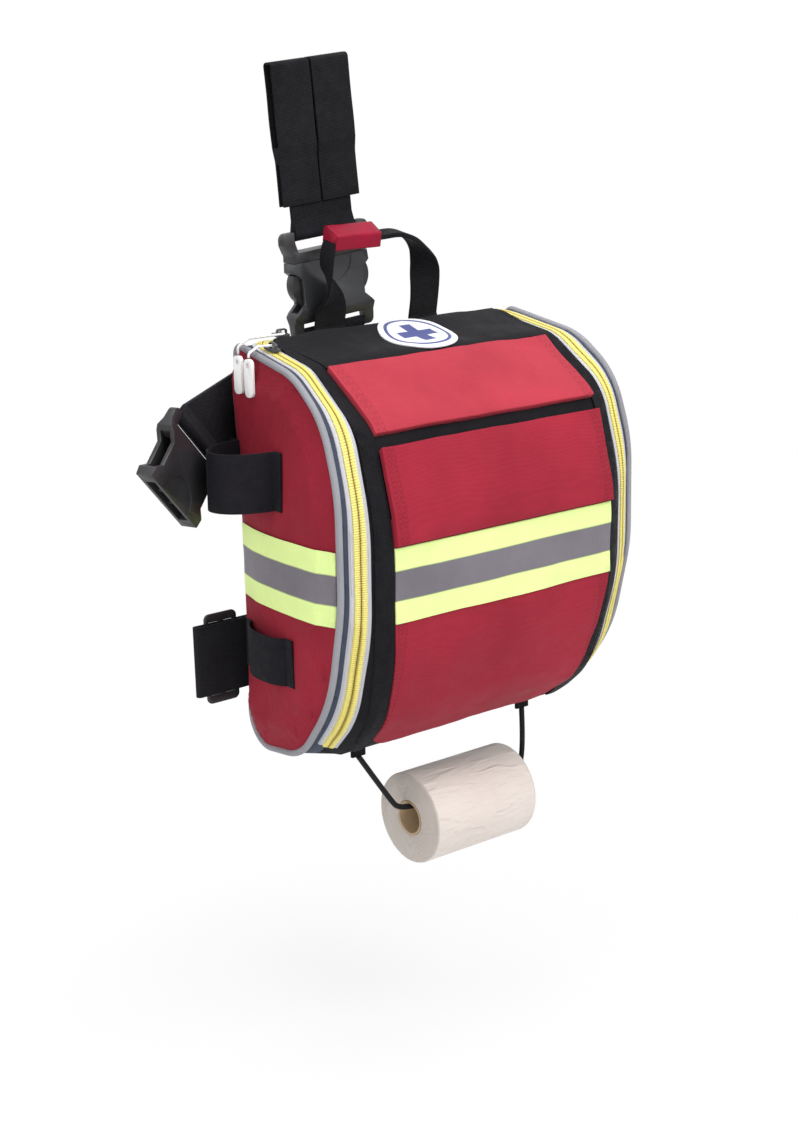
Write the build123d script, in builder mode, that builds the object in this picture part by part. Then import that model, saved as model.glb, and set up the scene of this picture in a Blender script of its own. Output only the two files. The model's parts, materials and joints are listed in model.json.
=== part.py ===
"""Thigh pouch for first aid: a zipped red and black bag that hangs from a waist belt.

Millimetres, +Z up, the front of the bag faces -Y and the wearer's thigh is at +Y.
The origin is the middle of the belt loop. The bag has a reference point of its own, BAG: the
middle of its width, on the level of the reflective band's centre line.
"""
import os
from math import cos, pi, radians, sin, tan

from build123d import *

os.makedirs("parts", exist_ok=True)

# ---- fits shared by many pieces
FIT = 0.3            # running clearance between pieces that move past each other
PLY = 1.4            # one ply of webbing
WEB = 50.0           # webbing width

# ---- hanger: two strips round the belt, over a webbing that carries the buckle
LEAN = 5.0           # the hanger leans to -X by this angle, degrees
BELT_H = 50.0        # belt the loop takes
BELT_SLACK = 4.0     # loop height beyond the belt
LOOP_GAP = 6.0       # room for the belt's thickness
STRIP_W = 31.0       # width of one strip
STRIP_SEAM = 1.5     # gap between the two strips
STRIP_PLY = 1.6
STRIP_END = 66.0     # lower end of the strips, below the origin
WEB_TOP = 38.0       # upper end of the webbing between the strips, below the origin

# ---- side-release buckle, local frame: +y up the strap, 0 at the mouth of the female half
BUCKLE_DROP = 104.0  # mouth of the main buckle below the origin, along the hanger
BAR_R = 2.4          # webbing bars
BAR_CLEAR = 0.3
SLOT_W = 52.4        # webbing slot, along the bar
MALE_TOP = 18.2      # bar axis above the mouth
MALE_HALF = 31.0     # half width at the mouth
MALE_FLARE = 36.0    # half width at the bar
MALE_THICK = 13.0
FEMALE_BAR = 49.5    # bar axis below the mouth
FEMALE_HALF = 34.0   # half width at the bar
FEMALE_WAIST = 25.5  # half width at the windows
FEMALE_THICK = 14.0
CAVITY_HALF = 22.6   # mouth, half width
CAVITY_T = 7.6       # mouth, height
CAVITY_DEPTH = 38.5
WINDOW_TOP = 7.6     # side windows below the mouth
WINDOW_END = 34.0
PRONG_T = 6.8
TONGUE_HALF = 6.0
TONGUE_LEN = 33.0
MOUTH_GAP = 0.4

# ---- bag body: every other width follows from SIDE_HALF
BAG_OFFSET = (44.0, -21.7, -297.0)
SIDE_HALF = 120.0    # half width at the piping, level with BAG
TOE = 4.0            # the sides close in towards the back by this angle, degrees
FRONT_HALF = SIDE_HALF - 23  # half width of the front before its edges turn
PUFF = 5.0           # the side cushions stand out past the piping
BACK_Y = 10.0        # rear plane of the zipped body
TOP_Z = 144.0
FLOOR_Z = -135.0
WALL = 3.0
# Outlines seen from the side, from the rear top corner over the front to the rear foot.
FRONT_OUTLINE = [(BACK_Y, TOP_Z), (-52, 132.6), (-104, 96), (-122, 30), (-119, -48), (-98, -100), (-64, -130),
                 (BACK_Y, FLOOR_Z)]
FRONT_RADII = [6, 25, 30, 150, 150, 60, 30, 16]
SIDE_OUTLINE = [(BACK_Y, TOP_Z), (-60, 131.1), (-93, 107), (-108, 62), (-108, -12), (-92, -80), (-54, -126),
                (BACK_Y, FLOOR_Z)]
SIDE_RADII = [6, 55, 60, 110, 130, 110, 45, 22]
FACE_OUTLINE = [(4, 127), (-50, 117), (-79, 95), (-91, 54), (-91, -10), (-77, -69), (-46, -108), (4, -117)]
FACE_RADII = [6, 45, 50, 90, 110, 90, 35, 18]

# ---- zip that lets the cover fold down
ZIP_HALF = SIDE_HALF - 12    # level with BAG
ZIP_REAR = 6.0
ZIP_CORNER = 16.0
ZIP_GAP = 0.3        # half of the gap between the two chains
CHAIN_W = 3.4
CHAIN_T = 1.8
TAPE_W = 6.4
TAPE_T = 0.8
HINGE_Y = -62.0
HINGE_GAP = 0.5

# ---- panels on the cover: angles about BAG, from the front (0) up to the top (90)
RED_HALF = FRONT_HALF - 2
RED_FOOT = RED_HALF - 10     # narrower at the foot
RED_TURN = (-30.0, -126.0)   # heights between which it narrows
RED_CORNER = 22.0
TOP_PANEL = (67.2, 89.4, 2.0)
FLAP_UPPER = (42.4, 66.6, 5.0)
FLAP_LOWER = (11.9, 38.4, 4.0)
FLAP_SEAT = 1.6      # pocket edge under the lower flap
POCKET_TOP = 20.0
POCKET_END = -62.0
ZIP_END = -60.0
BAND_H = 50.0        # reflective band
BAND_T = 1.2
BIND_W = 12.0
BIND_T = 1.4
LINER_T = 1.0

# ---- back panel, piping and side bands
BACK_T = 10.0
BACK_HALF = SIDE_HALF - 8
BACK_TOP = 136.0
BACK_FLOOR = -136.0
BACK_CORNER = 20.0
PIPING_R = 2.3

# ---- elastic loops on the sides
ELASTIC_T = 1.5
TOOL_Z = 62.5
TOOL_H = 39.0
TOOL_Y = -23.0
TOOL_HALF = 25.0
TOOL_BULGE = 32.0
LOWER_Z = -59.0
LOWER_H = 33.0
LOWER_Y = -25.0
LOWER_HALF = 23.0
LOWER_BULGE = 9.0
FOOT = 7.0

# ---- carry handle
HANDLE_X = (-40.7, 41.7)   # middles of the two legs
HANDLE_Y = 12.0      # where the legs are sewn in, behind the zip
HANDLE_Z = 148.0     # where they fold
HANDLE_LEAN = 11.0   # forward, degrees
HANDLE_W = 25.0
HANDLE_T = 2.2
HELD_W = 13.0        # the webbing is folded in two where the hand holds it
HELD_T = 3.2
FOLD_END = -0.6      # the webbing ends just below its fold
GRIP_X = -31.0
GRIP_UP = 61.0       # above the fold
GRIP_LEN = 38.0
# Stations along the webbing: across, up and forward in its plane, width, thickness, quarter turn.
LEFT_RUN = [
    (HANDLE_X[0], FOLD_END, 0, HANDLE_W, HANDLE_T, 0), (HANDLE_X[0], 15, 0, HANDLE_W, HANDLE_T, 0),
    (-44.5, 24, 2, 22, HANDLE_T, 30), (-49, 33, 4, 17, HANDLE_T, 60),
    (-51.5, 42, 5, 14, HELD_T, 85), (-51.5, 53, 5, HELD_W, HELD_T, 90),
    (GRIP_X - GRIP_LEN / 2 + 1, GRIP_UP - 1, 4, HELD_W, HELD_T, 90),
]
RIGHT_RUN = [
    (GRIP_X + GRIP_LEN / 2, GRIP_UP, 4, HELD_W, HELD_T, 90), (6, 61.5, 4, HELD_W, HELD_T, 90),
    (19, 56.5, 3, HELD_W, HELD_T, 85), (29, 48, 2, 14, HELD_T, 70), (36, 38, 1, 18, HANDLE_T, 40),
    (40, 26, 0, 23, HANDLE_T, 12), (HANDLE_X[1], 12, 0, HANDLE_W, HANDLE_T, 0),
    (HANDLE_X[1], FOLD_END, 0, HANDLE_W, HANDLE_T, 0),
]

# ---- badge
BADGE_R = 27.5
BADGE_T = 1.2
BADGE_X = 4.0
BADGE_Y = -27.6

# ---- zip sliders and pulls
SLIDER_L = 11.0
SLIDER_W = 8.6
SLIDER_T = 1.2
BRIDGE_H = 3.6
BRIDGE_T = 0.8
SIDE_SLIDER_Y = -17.0
REAR_SLIDER = (22.0 - ZIP_HALF, ZIP_REAR)
PULL_CORD_R = 0.85
PULL_X = -SIDE_HALF - PUFF - 4
PULL_Y = (-18.0, -6.0)
PULL_TOP = (138.0, 139.0)
PULL_L = 25.0
PULL_W = 8.4
PULL_T = 2.4
PULL_EYE = 1.8
TIE_GAP = 0.1        # cord end above the pull, beyond its own radius: the pull swings clear

# ---- cord and tape roll under the bag
CORD_R = 2.0
CORD_Y = -45.0
CORD_ROUTE = [(-70, -142), (-44, -180), (-34.5, -191.6), (4, -192.2), (40, -192.2), (74.5, -191.6),
              (84, -181.5), (82, -142)]
ANCHOR_W = 12.0
ANCHOR_T = 2.8
ANCHOR_GAP = 0.6     # the tab flexes at the floor of the bag
ROLL_R = 33.0
ROLL_L = 92.0
ROLL_X = 20.0
ROLL_Z = -200.0
CORE_R = 11.0
CORE_T = 1.6

# ---- leg straps
LEG_YAW = 20.0
LEG_DROOP = 45.0
LEG_MOUTH = (-BACK_HALF - 78, -7.6, 52.0)
LEG_TAB_Z = 99.0
LEG_STRAP_Z = 74.0
LEG_PIVOT_X = BACK_HALF - 3
LEG_BAR_X = LEG_PIVOT_X - 64
LOWER_STRAP_Z = -72.0
FOLD_X = -BACK_HALF - 43
GLIDE_X = -BACK_HALF - 22
GLIDE_W = 26.0
GLIDE_H = 64.0
GLIDE_T = 1.8

# ---- organiser inside
LOOP_COUNT = 5
LOOP_R = 15.0
LOOP_PITCH = 36.0
ORGANISER_H = 30.0
ORGANISER_Z = (58.0, -42.0)

BAG = Vector(*BAG_OFFSET)
TOE_IN = tan(radians(TOE))
FAR = 2 * SIDE_HALF


def side_plane(x):
    """Plane across the bag: local x is +Y, local y is +Z, measured from BAG."""
    return Plane(origin=BAG + Vector(x, 0, 0), x_dir=(0, 1, 0), z_dir=(1, 0, 0))


def flank_plane(side, out=0.0):
    """Plane of the piping on one side, moved outwards: local x runs back, local y up."""
    back = Vector(-side * sin(radians(TOE)), cos(radians(TOE)), 0)
    return Plane(origin=BAG + Vector(side * (SIDE_HALF + out), 0, 0), x_dir=back, z_dir=back.cross(Vector(0, 0, 1)))


def flank_floor(side, z):
    """Level plane at a height over BAG: local y runs back along the flat of a side cushion."""
    flank = flank_plane(side, PUFF)
    return Plane(origin=flank.origin + Vector(0, 0, z), x_dir=flank.z_dir)


def front_plane(y):
    """Plane along the bag's front: local x is +X, local y is +Z, normal towards -Y."""
    return Plane(origin=BAG + Vector(0, y, 0), x_dir=(1, 0, 0), z_dir=(0, -1, 0))


def top_plane(z):
    """Level plane at a height over BAG."""
    return Plane(origin=BAG + Vector(0, 0, z))


def hanger_plane(drop):
    """Front plane of the leaning hanger, at a distance below the belt loop."""
    along = Vector(cos(radians(LEAN)), 0, sin(radians(LEAN)))
    up = Vector(-sin(radians(LEAN)), 0, cos(radians(LEAN)))
    return Plane(origin=up * -drop, x_dir=along, z_dir=(0, -1, 0))


def across(plane, shift=0.0):
    """Plane normal to the width of a buckle plane: local x is its +y, local y its front."""
    origin = plane.origin + plane.x_dir * shift
    return Plane(origin=origin, x_dir=plane.y_dir, z_dir=plane.x_dir)


def save(solid, name):
    """Label a finished piece and write its file."""
    solid.label = name
    export_step(solid, f"parts/{name}.step")


# ---------------------------------------------------------------- outlines of the bag
def bag_face(points, radii, grow=0.0):
    """D-shaped face of the bag seen from its side, grown all round by an offset."""
    with BuildSketch() as face:
        with BuildLine():
            FilletPolyline(*points, radius=radii, close=True)
        make_face()
        if grow:
            offset(amount=grow, kind=Kind.INTERSECTION)
    return face.sketch


def bag_volume(grow=0.0):
    """The zipped body: straight across the front, turned in at both sides."""
    with BuildPart() as volume:
        with BuildSketch(side_plane(-FRONT_HALF)):
            add(bag_face(FRONT_OUTLINE, FRONT_RADII, grow))
        extrude(amount=2 * FRONT_HALF)
        for side in (-1, 1):
            with BuildSketch(side_plane(side * FRONT_HALF)):
                add(bag_face(FRONT_OUTLINE, FRONT_RADII, grow))
            with BuildSketch(flank_plane(side)):
                add(bag_face(SIDE_OUTLINE, SIDE_RADII, grow))
            loft(ruled=True)
    return volume.part


def side_cushion(side, grow=0.0, shift=0.0):
    """Volume of a side cushion, from the piping out to its flat."""
    with BuildPart() as cushion:
        with BuildSketch(flank_plane(side)):
            add(bag_face(SIDE_OUTLINE, SIDE_RADII, grow))
        with BuildSketch(flank_plane(side, PUFF + shift)):
            add(bag_face(FACE_OUTLINE, FACE_RADII, grow))
        loft(ruled=True)
    return cushion.part


def layer(outer, inner):
    """Skin of the zipped body between two offsets."""
    return bag_volume(outer) - bag_volume(inner)


def zip_prism(grow):
    """Upright prism whose side faces hold the line of the zip."""
    rear = ZIP_REAR + grow
    rear_half = ZIP_HALF + grow - TOE_IN * rear
    front_half = ZIP_HALF + grow + TOE_IN * FAR
    corner = ZIP_CORNER + grow
    with BuildPart() as prism:
        with BuildSketch(top_plane(1.2 * FLOOR_Z)):
            with BuildLine():
                FilletPolyline(
                    (-front_half, -FAR), (-rear_half, rear), (rear_half, rear), (front_half, -FAR),
                    radius=corner,
                )
                Line((front_half, -FAR), (-front_half, -FAR))
            make_face()
        extrude(amount=1.2 * (TOP_Z - FLOOR_Z))
    return prism.part


def block(x_span, y_span, z_span):
    """Box between pairs of limits, measured from BAG."""
    with BuildPart() as box:
        with BuildSketch(top_plane(z_span[0])):
            with Locations(((x_span[0] + x_span[1]) / 2, (y_span[0] + y_span[1]) / 2)):
                Rectangle(x_span[1] - x_span[0], y_span[1] - y_span[0])
        extrude(amount=z_span[1] - z_span[0])
    return box.part


def sector(low, high):
    """Wedge of the side plane between two angles about BAG, 0 to the front and 90 up."""
    reach = 2 * TOP_Z
    middle = (low + high) / 2
    with BuildSketch() as wedge:
        with BuildLine():
            rays = [(-reach * cos(radians(a)), reach * sin(radians(a))) for a in (low, middle, high)]
            Polyline((0, 0), *rays, close=True)
        make_face()
    return wedge.sketch


def red_prism(grow):
    """Level prism whose section is the red front seen square on, narrower towards its foot."""
    half = RED_HALF + grow
    foot = RED_FOOT + grow
    turn, end = RED_TURN
    with BuildPart() as prism:
        with BuildSketch(front_plane(-FAR)):
            with BuildLine():
                FilletPolyline(
                    (-half, FAR), (-half, turn), (-foot, end - grow), (foot, end - grow), (half, turn),
                    (half, FAR), radius=[FAR, RED_CORNER + grow, RED_CORNER + grow, FAR],
                )
                Line((half, FAR), (-half, FAR))
            make_face()
        extrude(amount=-1.2 * FAR)
    return prism.part


RED_SHAPE = red_prism(0)


def front_skin(low, high, outer, inner):
    """Panel that follows the front outline between two angles and two offsets."""
    with BuildPart() as skin:
        with BuildSketch(side_plane(-RED_HALF)):
            add(bag_face(FRONT_OUTLINE, FRONT_RADII, outer))
            add(bag_face(FRONT_OUTLINE, FRONT_RADII, inner), mode=Mode.SUBTRACT)
            add(sector(low, high), mode=Mode.INTERSECT)
        extrude(amount=2 * RED_HALF)
        add(RED_SHAPE, mode=Mode.INTERSECT)
    return skin.part


BELOW_HINGE = ((-FAR, FAR), (HINGE_Y - HINGE_GAP, FAR), (1.4 * FLOOR_Z, 0.7 * FLOOR_Z))

# ---------------------------------------------------------------- hanger
with BuildPart() as webbing:
    bar_axis = hanger_plane(BUCKLE_DROP - MALE_TOP)
    with BuildSketch(across(bar_axis, -WEB / 2)):
        Circle(BAR_R + BAR_CLEAR + PLY)
        neck = 2.5 * (BAR_R + PLY)
        top = BUCKLE_DROP - MALE_TOP - WEB_TOP
        with BuildLine():
            Polyline(
                (0, -BAR_R - BAR_CLEAR - PLY), (neck, -PLY), (top, -PLY),
                (top, PLY), (neck, PLY), (0, BAR_R + BAR_CLEAR + PLY), close=True,
            )
        make_face()
        Circle(BAR_R + BAR_CLEAR, mode=Mode.SUBTRACT)
    extrude(amount=WEB)
save(webbing.part, "hanger_webbing")


def hanger_strip(side):
    """Strip that runs up in front of the webbing, round the belt and down behind it."""
    inner_half = (BELT_H + BELT_SLACK) / 2
    start = STRIP_SEAM / 2 if side > 0 else -STRIP_SEAM / 2 - STRIP_W
    knee = WEB_TOP - 2
    with BuildPart() as strip:
        with BuildSketch(across(hanger_plane(0), start)):
            with BuildLine():
                FilletPolyline(
                    (-STRIP_END, PLY + STRIP_PLY), (-knee, PLY + STRIP_PLY),
                    (-inner_half, LOOP_GAP / 2 + STRIP_PLY),
                    (inner_half + STRIP_PLY, LOOP_GAP / 2 + STRIP_PLY),
                    (inner_half + STRIP_PLY, -LOOP_GAP / 2 - STRIP_PLY),
                    (-inner_half, -LOOP_GAP / 2 - STRIP_PLY),
                    (-knee, -PLY - STRIP_PLY), (-STRIP_END, -PLY - STRIP_PLY),
                    radius=[4, 4, LOOP_GAP / 2, LOOP_GAP / 2, 4, 4],
                )
                Line((-STRIP_END, -PLY - STRIP_PLY), (-STRIP_END, PLY + STRIP_PLY))
            make_face()
            with BuildLine():
                Polyline(
                    (-inner_half, LOOP_GAP / 2), (inner_half, LOOP_GAP / 2),
                    (inner_half, -LOOP_GAP / 2), (-inner_half, -LOOP_GAP / 2), close=True,
                )
            make_face(mode=Mode.SUBTRACT)
            with Locations((-(WEB_TOP + STRIP_END) / 2, 0)):
                Rectangle(STRIP_END - WEB_TOP, 2 * PLY, mode=Mode.SUBTRACT)
        extrude(amount=STRIP_W)
    return strip.part


save(hanger_strip(-1), "hanger_strip_left")
save(hanger_strip(1), "hanger_strip_right")


# ---------------------------------------------------------------- side-release buckle
def male_frame(plane):
    """Male half: bar and slot for the webbing, flared shoulders and the guide tongue."""
    top = MALE_TOP + BAR_R
    with BuildPart() as frame:
        with BuildSketch(plane):
            with BuildLine():
                Polyline(
                    (-MALE_HALF, MOUTH_GAP), (MALE_HALF, MOUTH_GAP), (MALE_HALF, 5),
                    (MALE_FLARE, 13), (MALE_FLARE, top), (-MALE_FLARE, top),
                    (-MALE_FLARE, 13), (-MALE_HALF, 5), close=True,
                )
            make_face()
            fillet(vertices().group_by(Axis.Y)[-1], radius=4)
            with Locations((0, (top + 7) / 2)):
                Rectangle(SLOT_W, top - 7, mode=Mode.SUBTRACT)
        extrude(amount=MALE_THICK / 2, both=True)
        with BuildSketch(across(plane, -MALE_FLARE)):
            half = MALE_THICK / 2
            with BuildLine():
                Polyline(
                    (MOUTH_GAP, -half), (7, -half + 0.6), (13, -BAR_R - 0.8), (top, -BAR_R),
                    (top, BAR_R), (13, BAR_R + 0.8), (7, half - 0.6), (MOUTH_GAP, half), close=True,
                )
            make_face()
        extrude(amount=2 * MALE_FLARE, mode=Mode.INTERSECT)
        with BuildSketch(across(plane, -SLOT_W / 2 - 1)):
            with Locations((MALE_TOP, 0)):
                Circle(BAR_R)
        extrude(amount=SLOT_W + 2)
        with BuildSketch(plane):
            with Locations((0, -TONGUE_LEN / 2 + MOUTH_GAP / 2)):
                RectangleRounded(2 * TONGUE_HALF, TONGUE_LEN + MOUTH_GAP, 2.4)
            with Locations((0, 1)):
                Rectangle(2 * TONGUE_HALF, 3)
        extrude(amount=PRONG_T / 2 - 0.6, both=True)
    return frame.part


def male_prongs(plane):
    """The two spring prongs with their catch shoulders and finger buttons."""
    with BuildPart() as prongs:
        with BuildSketch(plane):
            for side in (-1, 1):
                shoulder = -WINDOW_TOP - 0.6
                with BuildLine():
                    Line((side * 13, MOUTH_GAP), (side * 18.4, MOUTH_GAP))
                    Line((side * 18.4, MOUTH_GAP), (side * 20.6, shoulder))
                    Line((side * 20.6, shoulder), (side * 30.5, shoulder))
                    ThreePointArc((side * 30.5, shoulder), (side * 32.8, -17), (side * 28.5, -26))
                    Line((side * 28.5, -26), (side * 19, -36.5))
                    Line((side * 19, -36.5), (side * 15.5, -36))
                    ThreePointArc((side * 15.5, -36), (side * 14.6, -17), (side * 13, MOUTH_GAP))
                make_face()
        extrude(amount=PRONG_T / 2, both=True)
    return prongs.part


def female_shell(plane):
    """Female half: flat housing, mouth, side windows, tongue rails and webbing bar."""
    end = FEMALE_BAR + BAR_R
    slot_top = FEMALE_BAR - BAR_R - 5.2
    with BuildPart() as shell:
        with BuildSketch(plane):
            with BuildLine():
                for side in (-1, 1):
                    mouth = (side * MALE_HALF, 0)
                    cheek = (side * MALE_HALF, -6.5)
                    waist_high = (side * FEMALE_WAIST, -11.5)
                    waist_low = (side * FEMALE_WAIST, -29)
                    hip = (side * FEMALE_HALF, -36.5)
                    Polyline(mouth, cheek, waist_high, waist_low, hip, (side * FEMALE_HALF, -end))
                Line((-MALE_HALF, 0), (MALE_HALF, 0))
                Line((-FEMALE_HALF, -end), (FEMALE_HALF, -end))
            make_face()
            fillet(vertices().group_by(Axis.Y)[0], radius=4)
            with Locations((0, -(slot_top + end) / 2)):
                Rectangle(SLOT_W, end - slot_top, mode=Mode.SUBTRACT)
        extrude(amount=FEMALE_THICK / 2, both=True)
        half = FEMALE_THICK / 2
        with BuildSketch(across(plane, -FEMALE_HALF)):
            with BuildLine():
                Polyline(
                    (0, -half + 0.8), (-6, -half), (-34, -half), (-42, -BAR_R - 1), (-end, -BAR_R),
                    (-end, BAR_R), (-42, BAR_R + 1), (-34, half), (-6, half), (0, half - 0.8),
                    close=True,
                )
            make_face()
        extrude(amount=2 * FEMALE_HALF, mode=Mode.INTERSECT)
        with BuildSketch(plane):
            with Locations((0, -CAVITY_DEPTH / 2)):
                Rectangle(2 * CAVITY_HALF, CAVITY_DEPTH)
            with Locations((0, -(WINDOW_TOP + WINDOW_END) / 2)):
                Rectangle(2.4 * FEMALE_HALF, WINDOW_END - WINDOW_TOP)
        extrude(amount=CAVITY_T / 2, both=True, mode=Mode.SUBTRACT)
        with BuildSketch(across(plane, -SLOT_W / 2 - 1)):
            with Locations((-FEMALE_BAR, 0)):
                Circle(BAR_R)
        extrude(amount=SLOT_W + 2)
        with BuildSketch(plane.offset(-CAVITY_T / 2)):
            for side in (-1, 1):
                with Locations((side * (TONGUE_HALF + FIT + 0.7), -CAVITY_DEPTH / 2)):
                    Rectangle(1.4, CAVITY_DEPTH - 6)
        extrude(amount=2.4)
        with BuildSketch(plane.offset(half)):
            with Locations((0, 0)):
                Circle(17)
            with Locations((0, 17)):
                Rectangle(40, 34, mode=Mode.SUBTRACT)
        extrude(amount=-1.0, mode=Mode.SUBTRACT)
    return shell.part


def webbing_eye(plane, bar, tail_end):
    """Profile extruded across the webbing: an eye round a bar and a doubled tail from it."""
    outer = BAR_R + BAR_CLEAR + PLY
    neck = 2.5 * (BAR_R + PLY)
    with BuildPart() as eye:
        with BuildSketch(across(plane, -WEB / 2)):
            with Locations((bar, 0)):
                Circle(outer)
            sign = 1 if tail_end > bar else -1
            with BuildLine():
                Polyline(
                    (bar, -outer), (bar + sign * neck, -PLY), (tail_end, -PLY),
                    (tail_end, PLY), (bar + sign * neck, PLY), (bar, outer), close=True,
                )
            make_face()
            with Locations((bar, 0)):
                Circle(BAR_R + BAR_CLEAR, mode=Mode.SUBTRACT)
        extrude(amount=WEB)
    return eye.part


MAIN_BUCKLE = hanger_plane(BUCKLE_DROP)
save(male_frame(MAIN_BUCKLE), "buckle_male_frame")
save(male_prongs(MAIN_BUCKLE), "buckle_male_prongs")
save(female_shell(MAIN_BUCKLE), "buckle_female_shell")
TAIL_END = FEMALE_BAR + 30.0
save(webbing_eye(MAIN_BUCKLE, -FEMALE_BAR, -TAIL_END), "bag_webbing_tail")

# ---------------------------------------------------------------- bag body
with BuildPart() as back_panel:
    with BuildSketch(front_plane(BACK_Y)):
        with Locations((0, (BACK_TOP + BACK_FLOOR) / 2)):
            RectangleRounded(2 * BACK_HALF, BACK_TOP - BACK_FLOOR, BACK_CORNER)
    extrude(amount=-BACK_T)
    fillet(edges().group_by(Axis.Y)[-1], radius=3)
save(back_panel.part, "back_panel")

SKIN_WALL = layer(0, -WALL)
OUTSIDE_ZIP = zip_prism(ZIP_GAP)
GUSSET_EDGE = ZIP_HALF - ZIP_CORNER

gussets = []
for side, word in ((-1, "left"), (1, "right")):
    span = sorted((side * GUSSET_EDGE, side * FAR))
    with BuildPart() as gusset:
        add(SKIN_WALL)
        add(block(span, (-FAR, BACK_Y), (1.4 * FLOOR_Z, 1.4 * TOP_Z)), mode=Mode.INTERSECT)
        add(OUTSIDE_ZIP, mode=Mode.SUBTRACT)
    gussets.append(gusset.part)
    save(gusset.part, f"gusset_{word}")

    with BuildPart() as side_panel:
        add(side_cushion(side))
        add(side_cushion(side, -WALL, -WALL), mode=Mode.SUBTRACT)
    save(side_panel.part, f"side_panel_{word}")

with BuildPart() as rear_strip:
    add(SKIN_WALL)
    rear_zone = ((-GUSSET_EDGE, GUSSET_EDGE), (ZIP_REAR + ZIP_GAP, BACK_Y), (0.8 * TOP_Z, 1.4 * TOP_Z))
    add(block(*rear_zone), mode=Mode.INTERSECT)
save(rear_strip.part, "rear_strip")

with BuildPart() as bottom_panel:
    add(SKIN_WALL)
    floor_zone = ((-FAR, FAR), (HINGE_Y, BACK_Y), (1.4 * FLOOR_Z, FLOOR_Z + FRONT_RADII[-1]))
    add(block(*floor_zone), mode=Mode.INTERSECT)
    for gusset_part in gussets:
        add(gusset_part, mode=Mode.SUBTRACT)
save(bottom_panel.part, "bottom_panel")

BAG_SOLID = bag_volume()
FOOT_RUN = 30.0      # the piping runs on past the rear corners
for side, word in ((-1, "left"), (1, "right")):
    with BuildPart() as tube:
        with BuildLine(flank_plane(side)) as edge:
            FilletPolyline((BACK_Y, TOP_Z - FOOT_RUN), *SIDE_OUTLINE, (BACK_Y, FLOOR_Z + FOOT_RUN), radius=SIDE_RADII)
        with BuildSketch(Plane(origin=edge.line @ 0, z_dir=edge.line % 0)):
            Circle(PIPING_R)
        sweep(path=edge.line)
    piping = tube.part - BAG_SOLID - side_cushion(side)
    save(piping, f"piping_{word}")

    with BuildPart() as side_band:
        with BuildSketch(flank_plane(side)):
            with Locations((FACE_OUTLINE[0][0] - FAR / 2, 0)):
                Rectangle(FAR, BAND_H)
        extrude(amount=side * 2 * PUFF)
        add(side_cushion(side, BAND_T, BAND_T), mode=Mode.INTERSECT)
        add(side_cushion(side), mode=Mode.SUBTRACT)
        add(tube.part, mode=Mode.SUBTRACT)
    save(side_band.part, f"reflective_band_{word}")


def side_loop(side, height, bulge, z_middle, y_middle, half):
    """Elastic sewn flat at both ends and bowed out between them."""
    with BuildPart() as loop:
        with BuildSketch(flank_floor(side, z_middle - height / 2)):
            with Locations((0, y_middle)):
                Ellipse(bulge, half)
                Rectangle(2 * ELASTIC_T, 2 * (half + FOOT))
                Ellipse(bulge - ELASTIC_T, half - ELASTIC_T, mode=Mode.SUBTRACT)
            with Locations((-side * bulge, y_middle)):
                Rectangle(2 * bulge, 4 * (half + FOOT), mode=Mode.SUBTRACT)
        extrude(amount=height)
    return loop.part


for side, word in ((-1, "left"), (1, "right")):
    save(side_loop(side, TOOL_H, TOOL_BULGE, TOOL_Z, TOOL_Y, TOOL_HALF), f"tool_loop_{word}")
    save(side_loop(side, LOWER_H, LOWER_BULGE, LOWER_Z, LOWER_Y, LOWER_HALF), f"lower_loop_{word}")

for z_low, word in zip(ORGANISER_Z, ("upper", "lower")):
    with BuildPart() as organiser:
        with BuildSketch(top_plane(z_low - ORGANISER_H / 2)):
            with Locations((0, BACK_Y - ELASTIC_T / 2)):
                Rectangle(LOOP_COUNT * LOOP_PITCH, ELASTIC_T)
            with Locations((0, BACK_Y)):
                with GridLocations(LOOP_PITCH, 1, LOOP_COUNT, 1):
                    Circle(LOOP_R)
                    Circle(LOOP_R - ELASTIC_T, mode=Mode.SUBTRACT)
            with Locations((0, BACK_Y + LOOP_R)):
                Rectangle(LOOP_COUNT * LOOP_PITCH, 2 * LOOP_R, mode=Mode.SUBTRACT)
        extrude(amount=ORGANISER_H)
    save(organiser.part, f"organiser_elastic_{word}")

# ---------------------------------------------------------------- cover
INSIDE_ZIP = zip_prism(-ZIP_GAP)
HINGE_ZONE = block(*BELOW_HINGE)

with BuildPart() as cover_shell:
    add(SKIN_WALL)
    add(INSIDE_ZIP, mode=Mode.INTERSECT)
    add(HINGE_ZONE, mode=Mode.SUBTRACT)
    rear_wall = block((-FAR, FAR), (BACK_Y - WALL - 1, FAR), (FLOOR_Z, TOP_Z - WALL))
    add(rear_wall, mode=Mode.SUBTRACT)
save(cover_shell.part, "cover_shell")

save(front_skin(TOP_PANEL[0], TOP_PANEL[1], TOP_PANEL[2], 0), "cover_top_panel")
save(front_skin(FLAP_UPPER[0], FLAP_UPPER[1], FLAP_UPPER[2], 0), "cover_upper_pad")
save(front_skin(POCKET_END, POCKET_TOP, FLAP_SEAT, 0), "front_pocket")
save(front_skin(*FLAP_LOWER[:2], FLAP_SEAT + FIT + FLAP_LOWER[2], FLAP_SEAT + FIT), "pocket_flap")
save(front_skin(POCKET_END, FLAP_UPPER[1], -WALL, -WALL - LINER_T), "cover_lining")

with BuildPart() as front_band:
    with BuildSketch(side_plane(-RED_HALF)):
        add(bag_face(FRONT_OUTLINE, FRONT_RADII, FLAP_SEAT + BAND_T))
        add(bag_face(FRONT_OUTLINE, FRONT_RADII, FLAP_SEAT), mode=Mode.SUBTRACT)
        with Locations((-ZIP_HALF, 0)):
            Rectangle(ZIP_HALF, BAND_H, mode=Mode.INTERSECT)
    extrude(amount=2 * RED_HALF)
save(front_band.part, "reflective_band_front")

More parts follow.
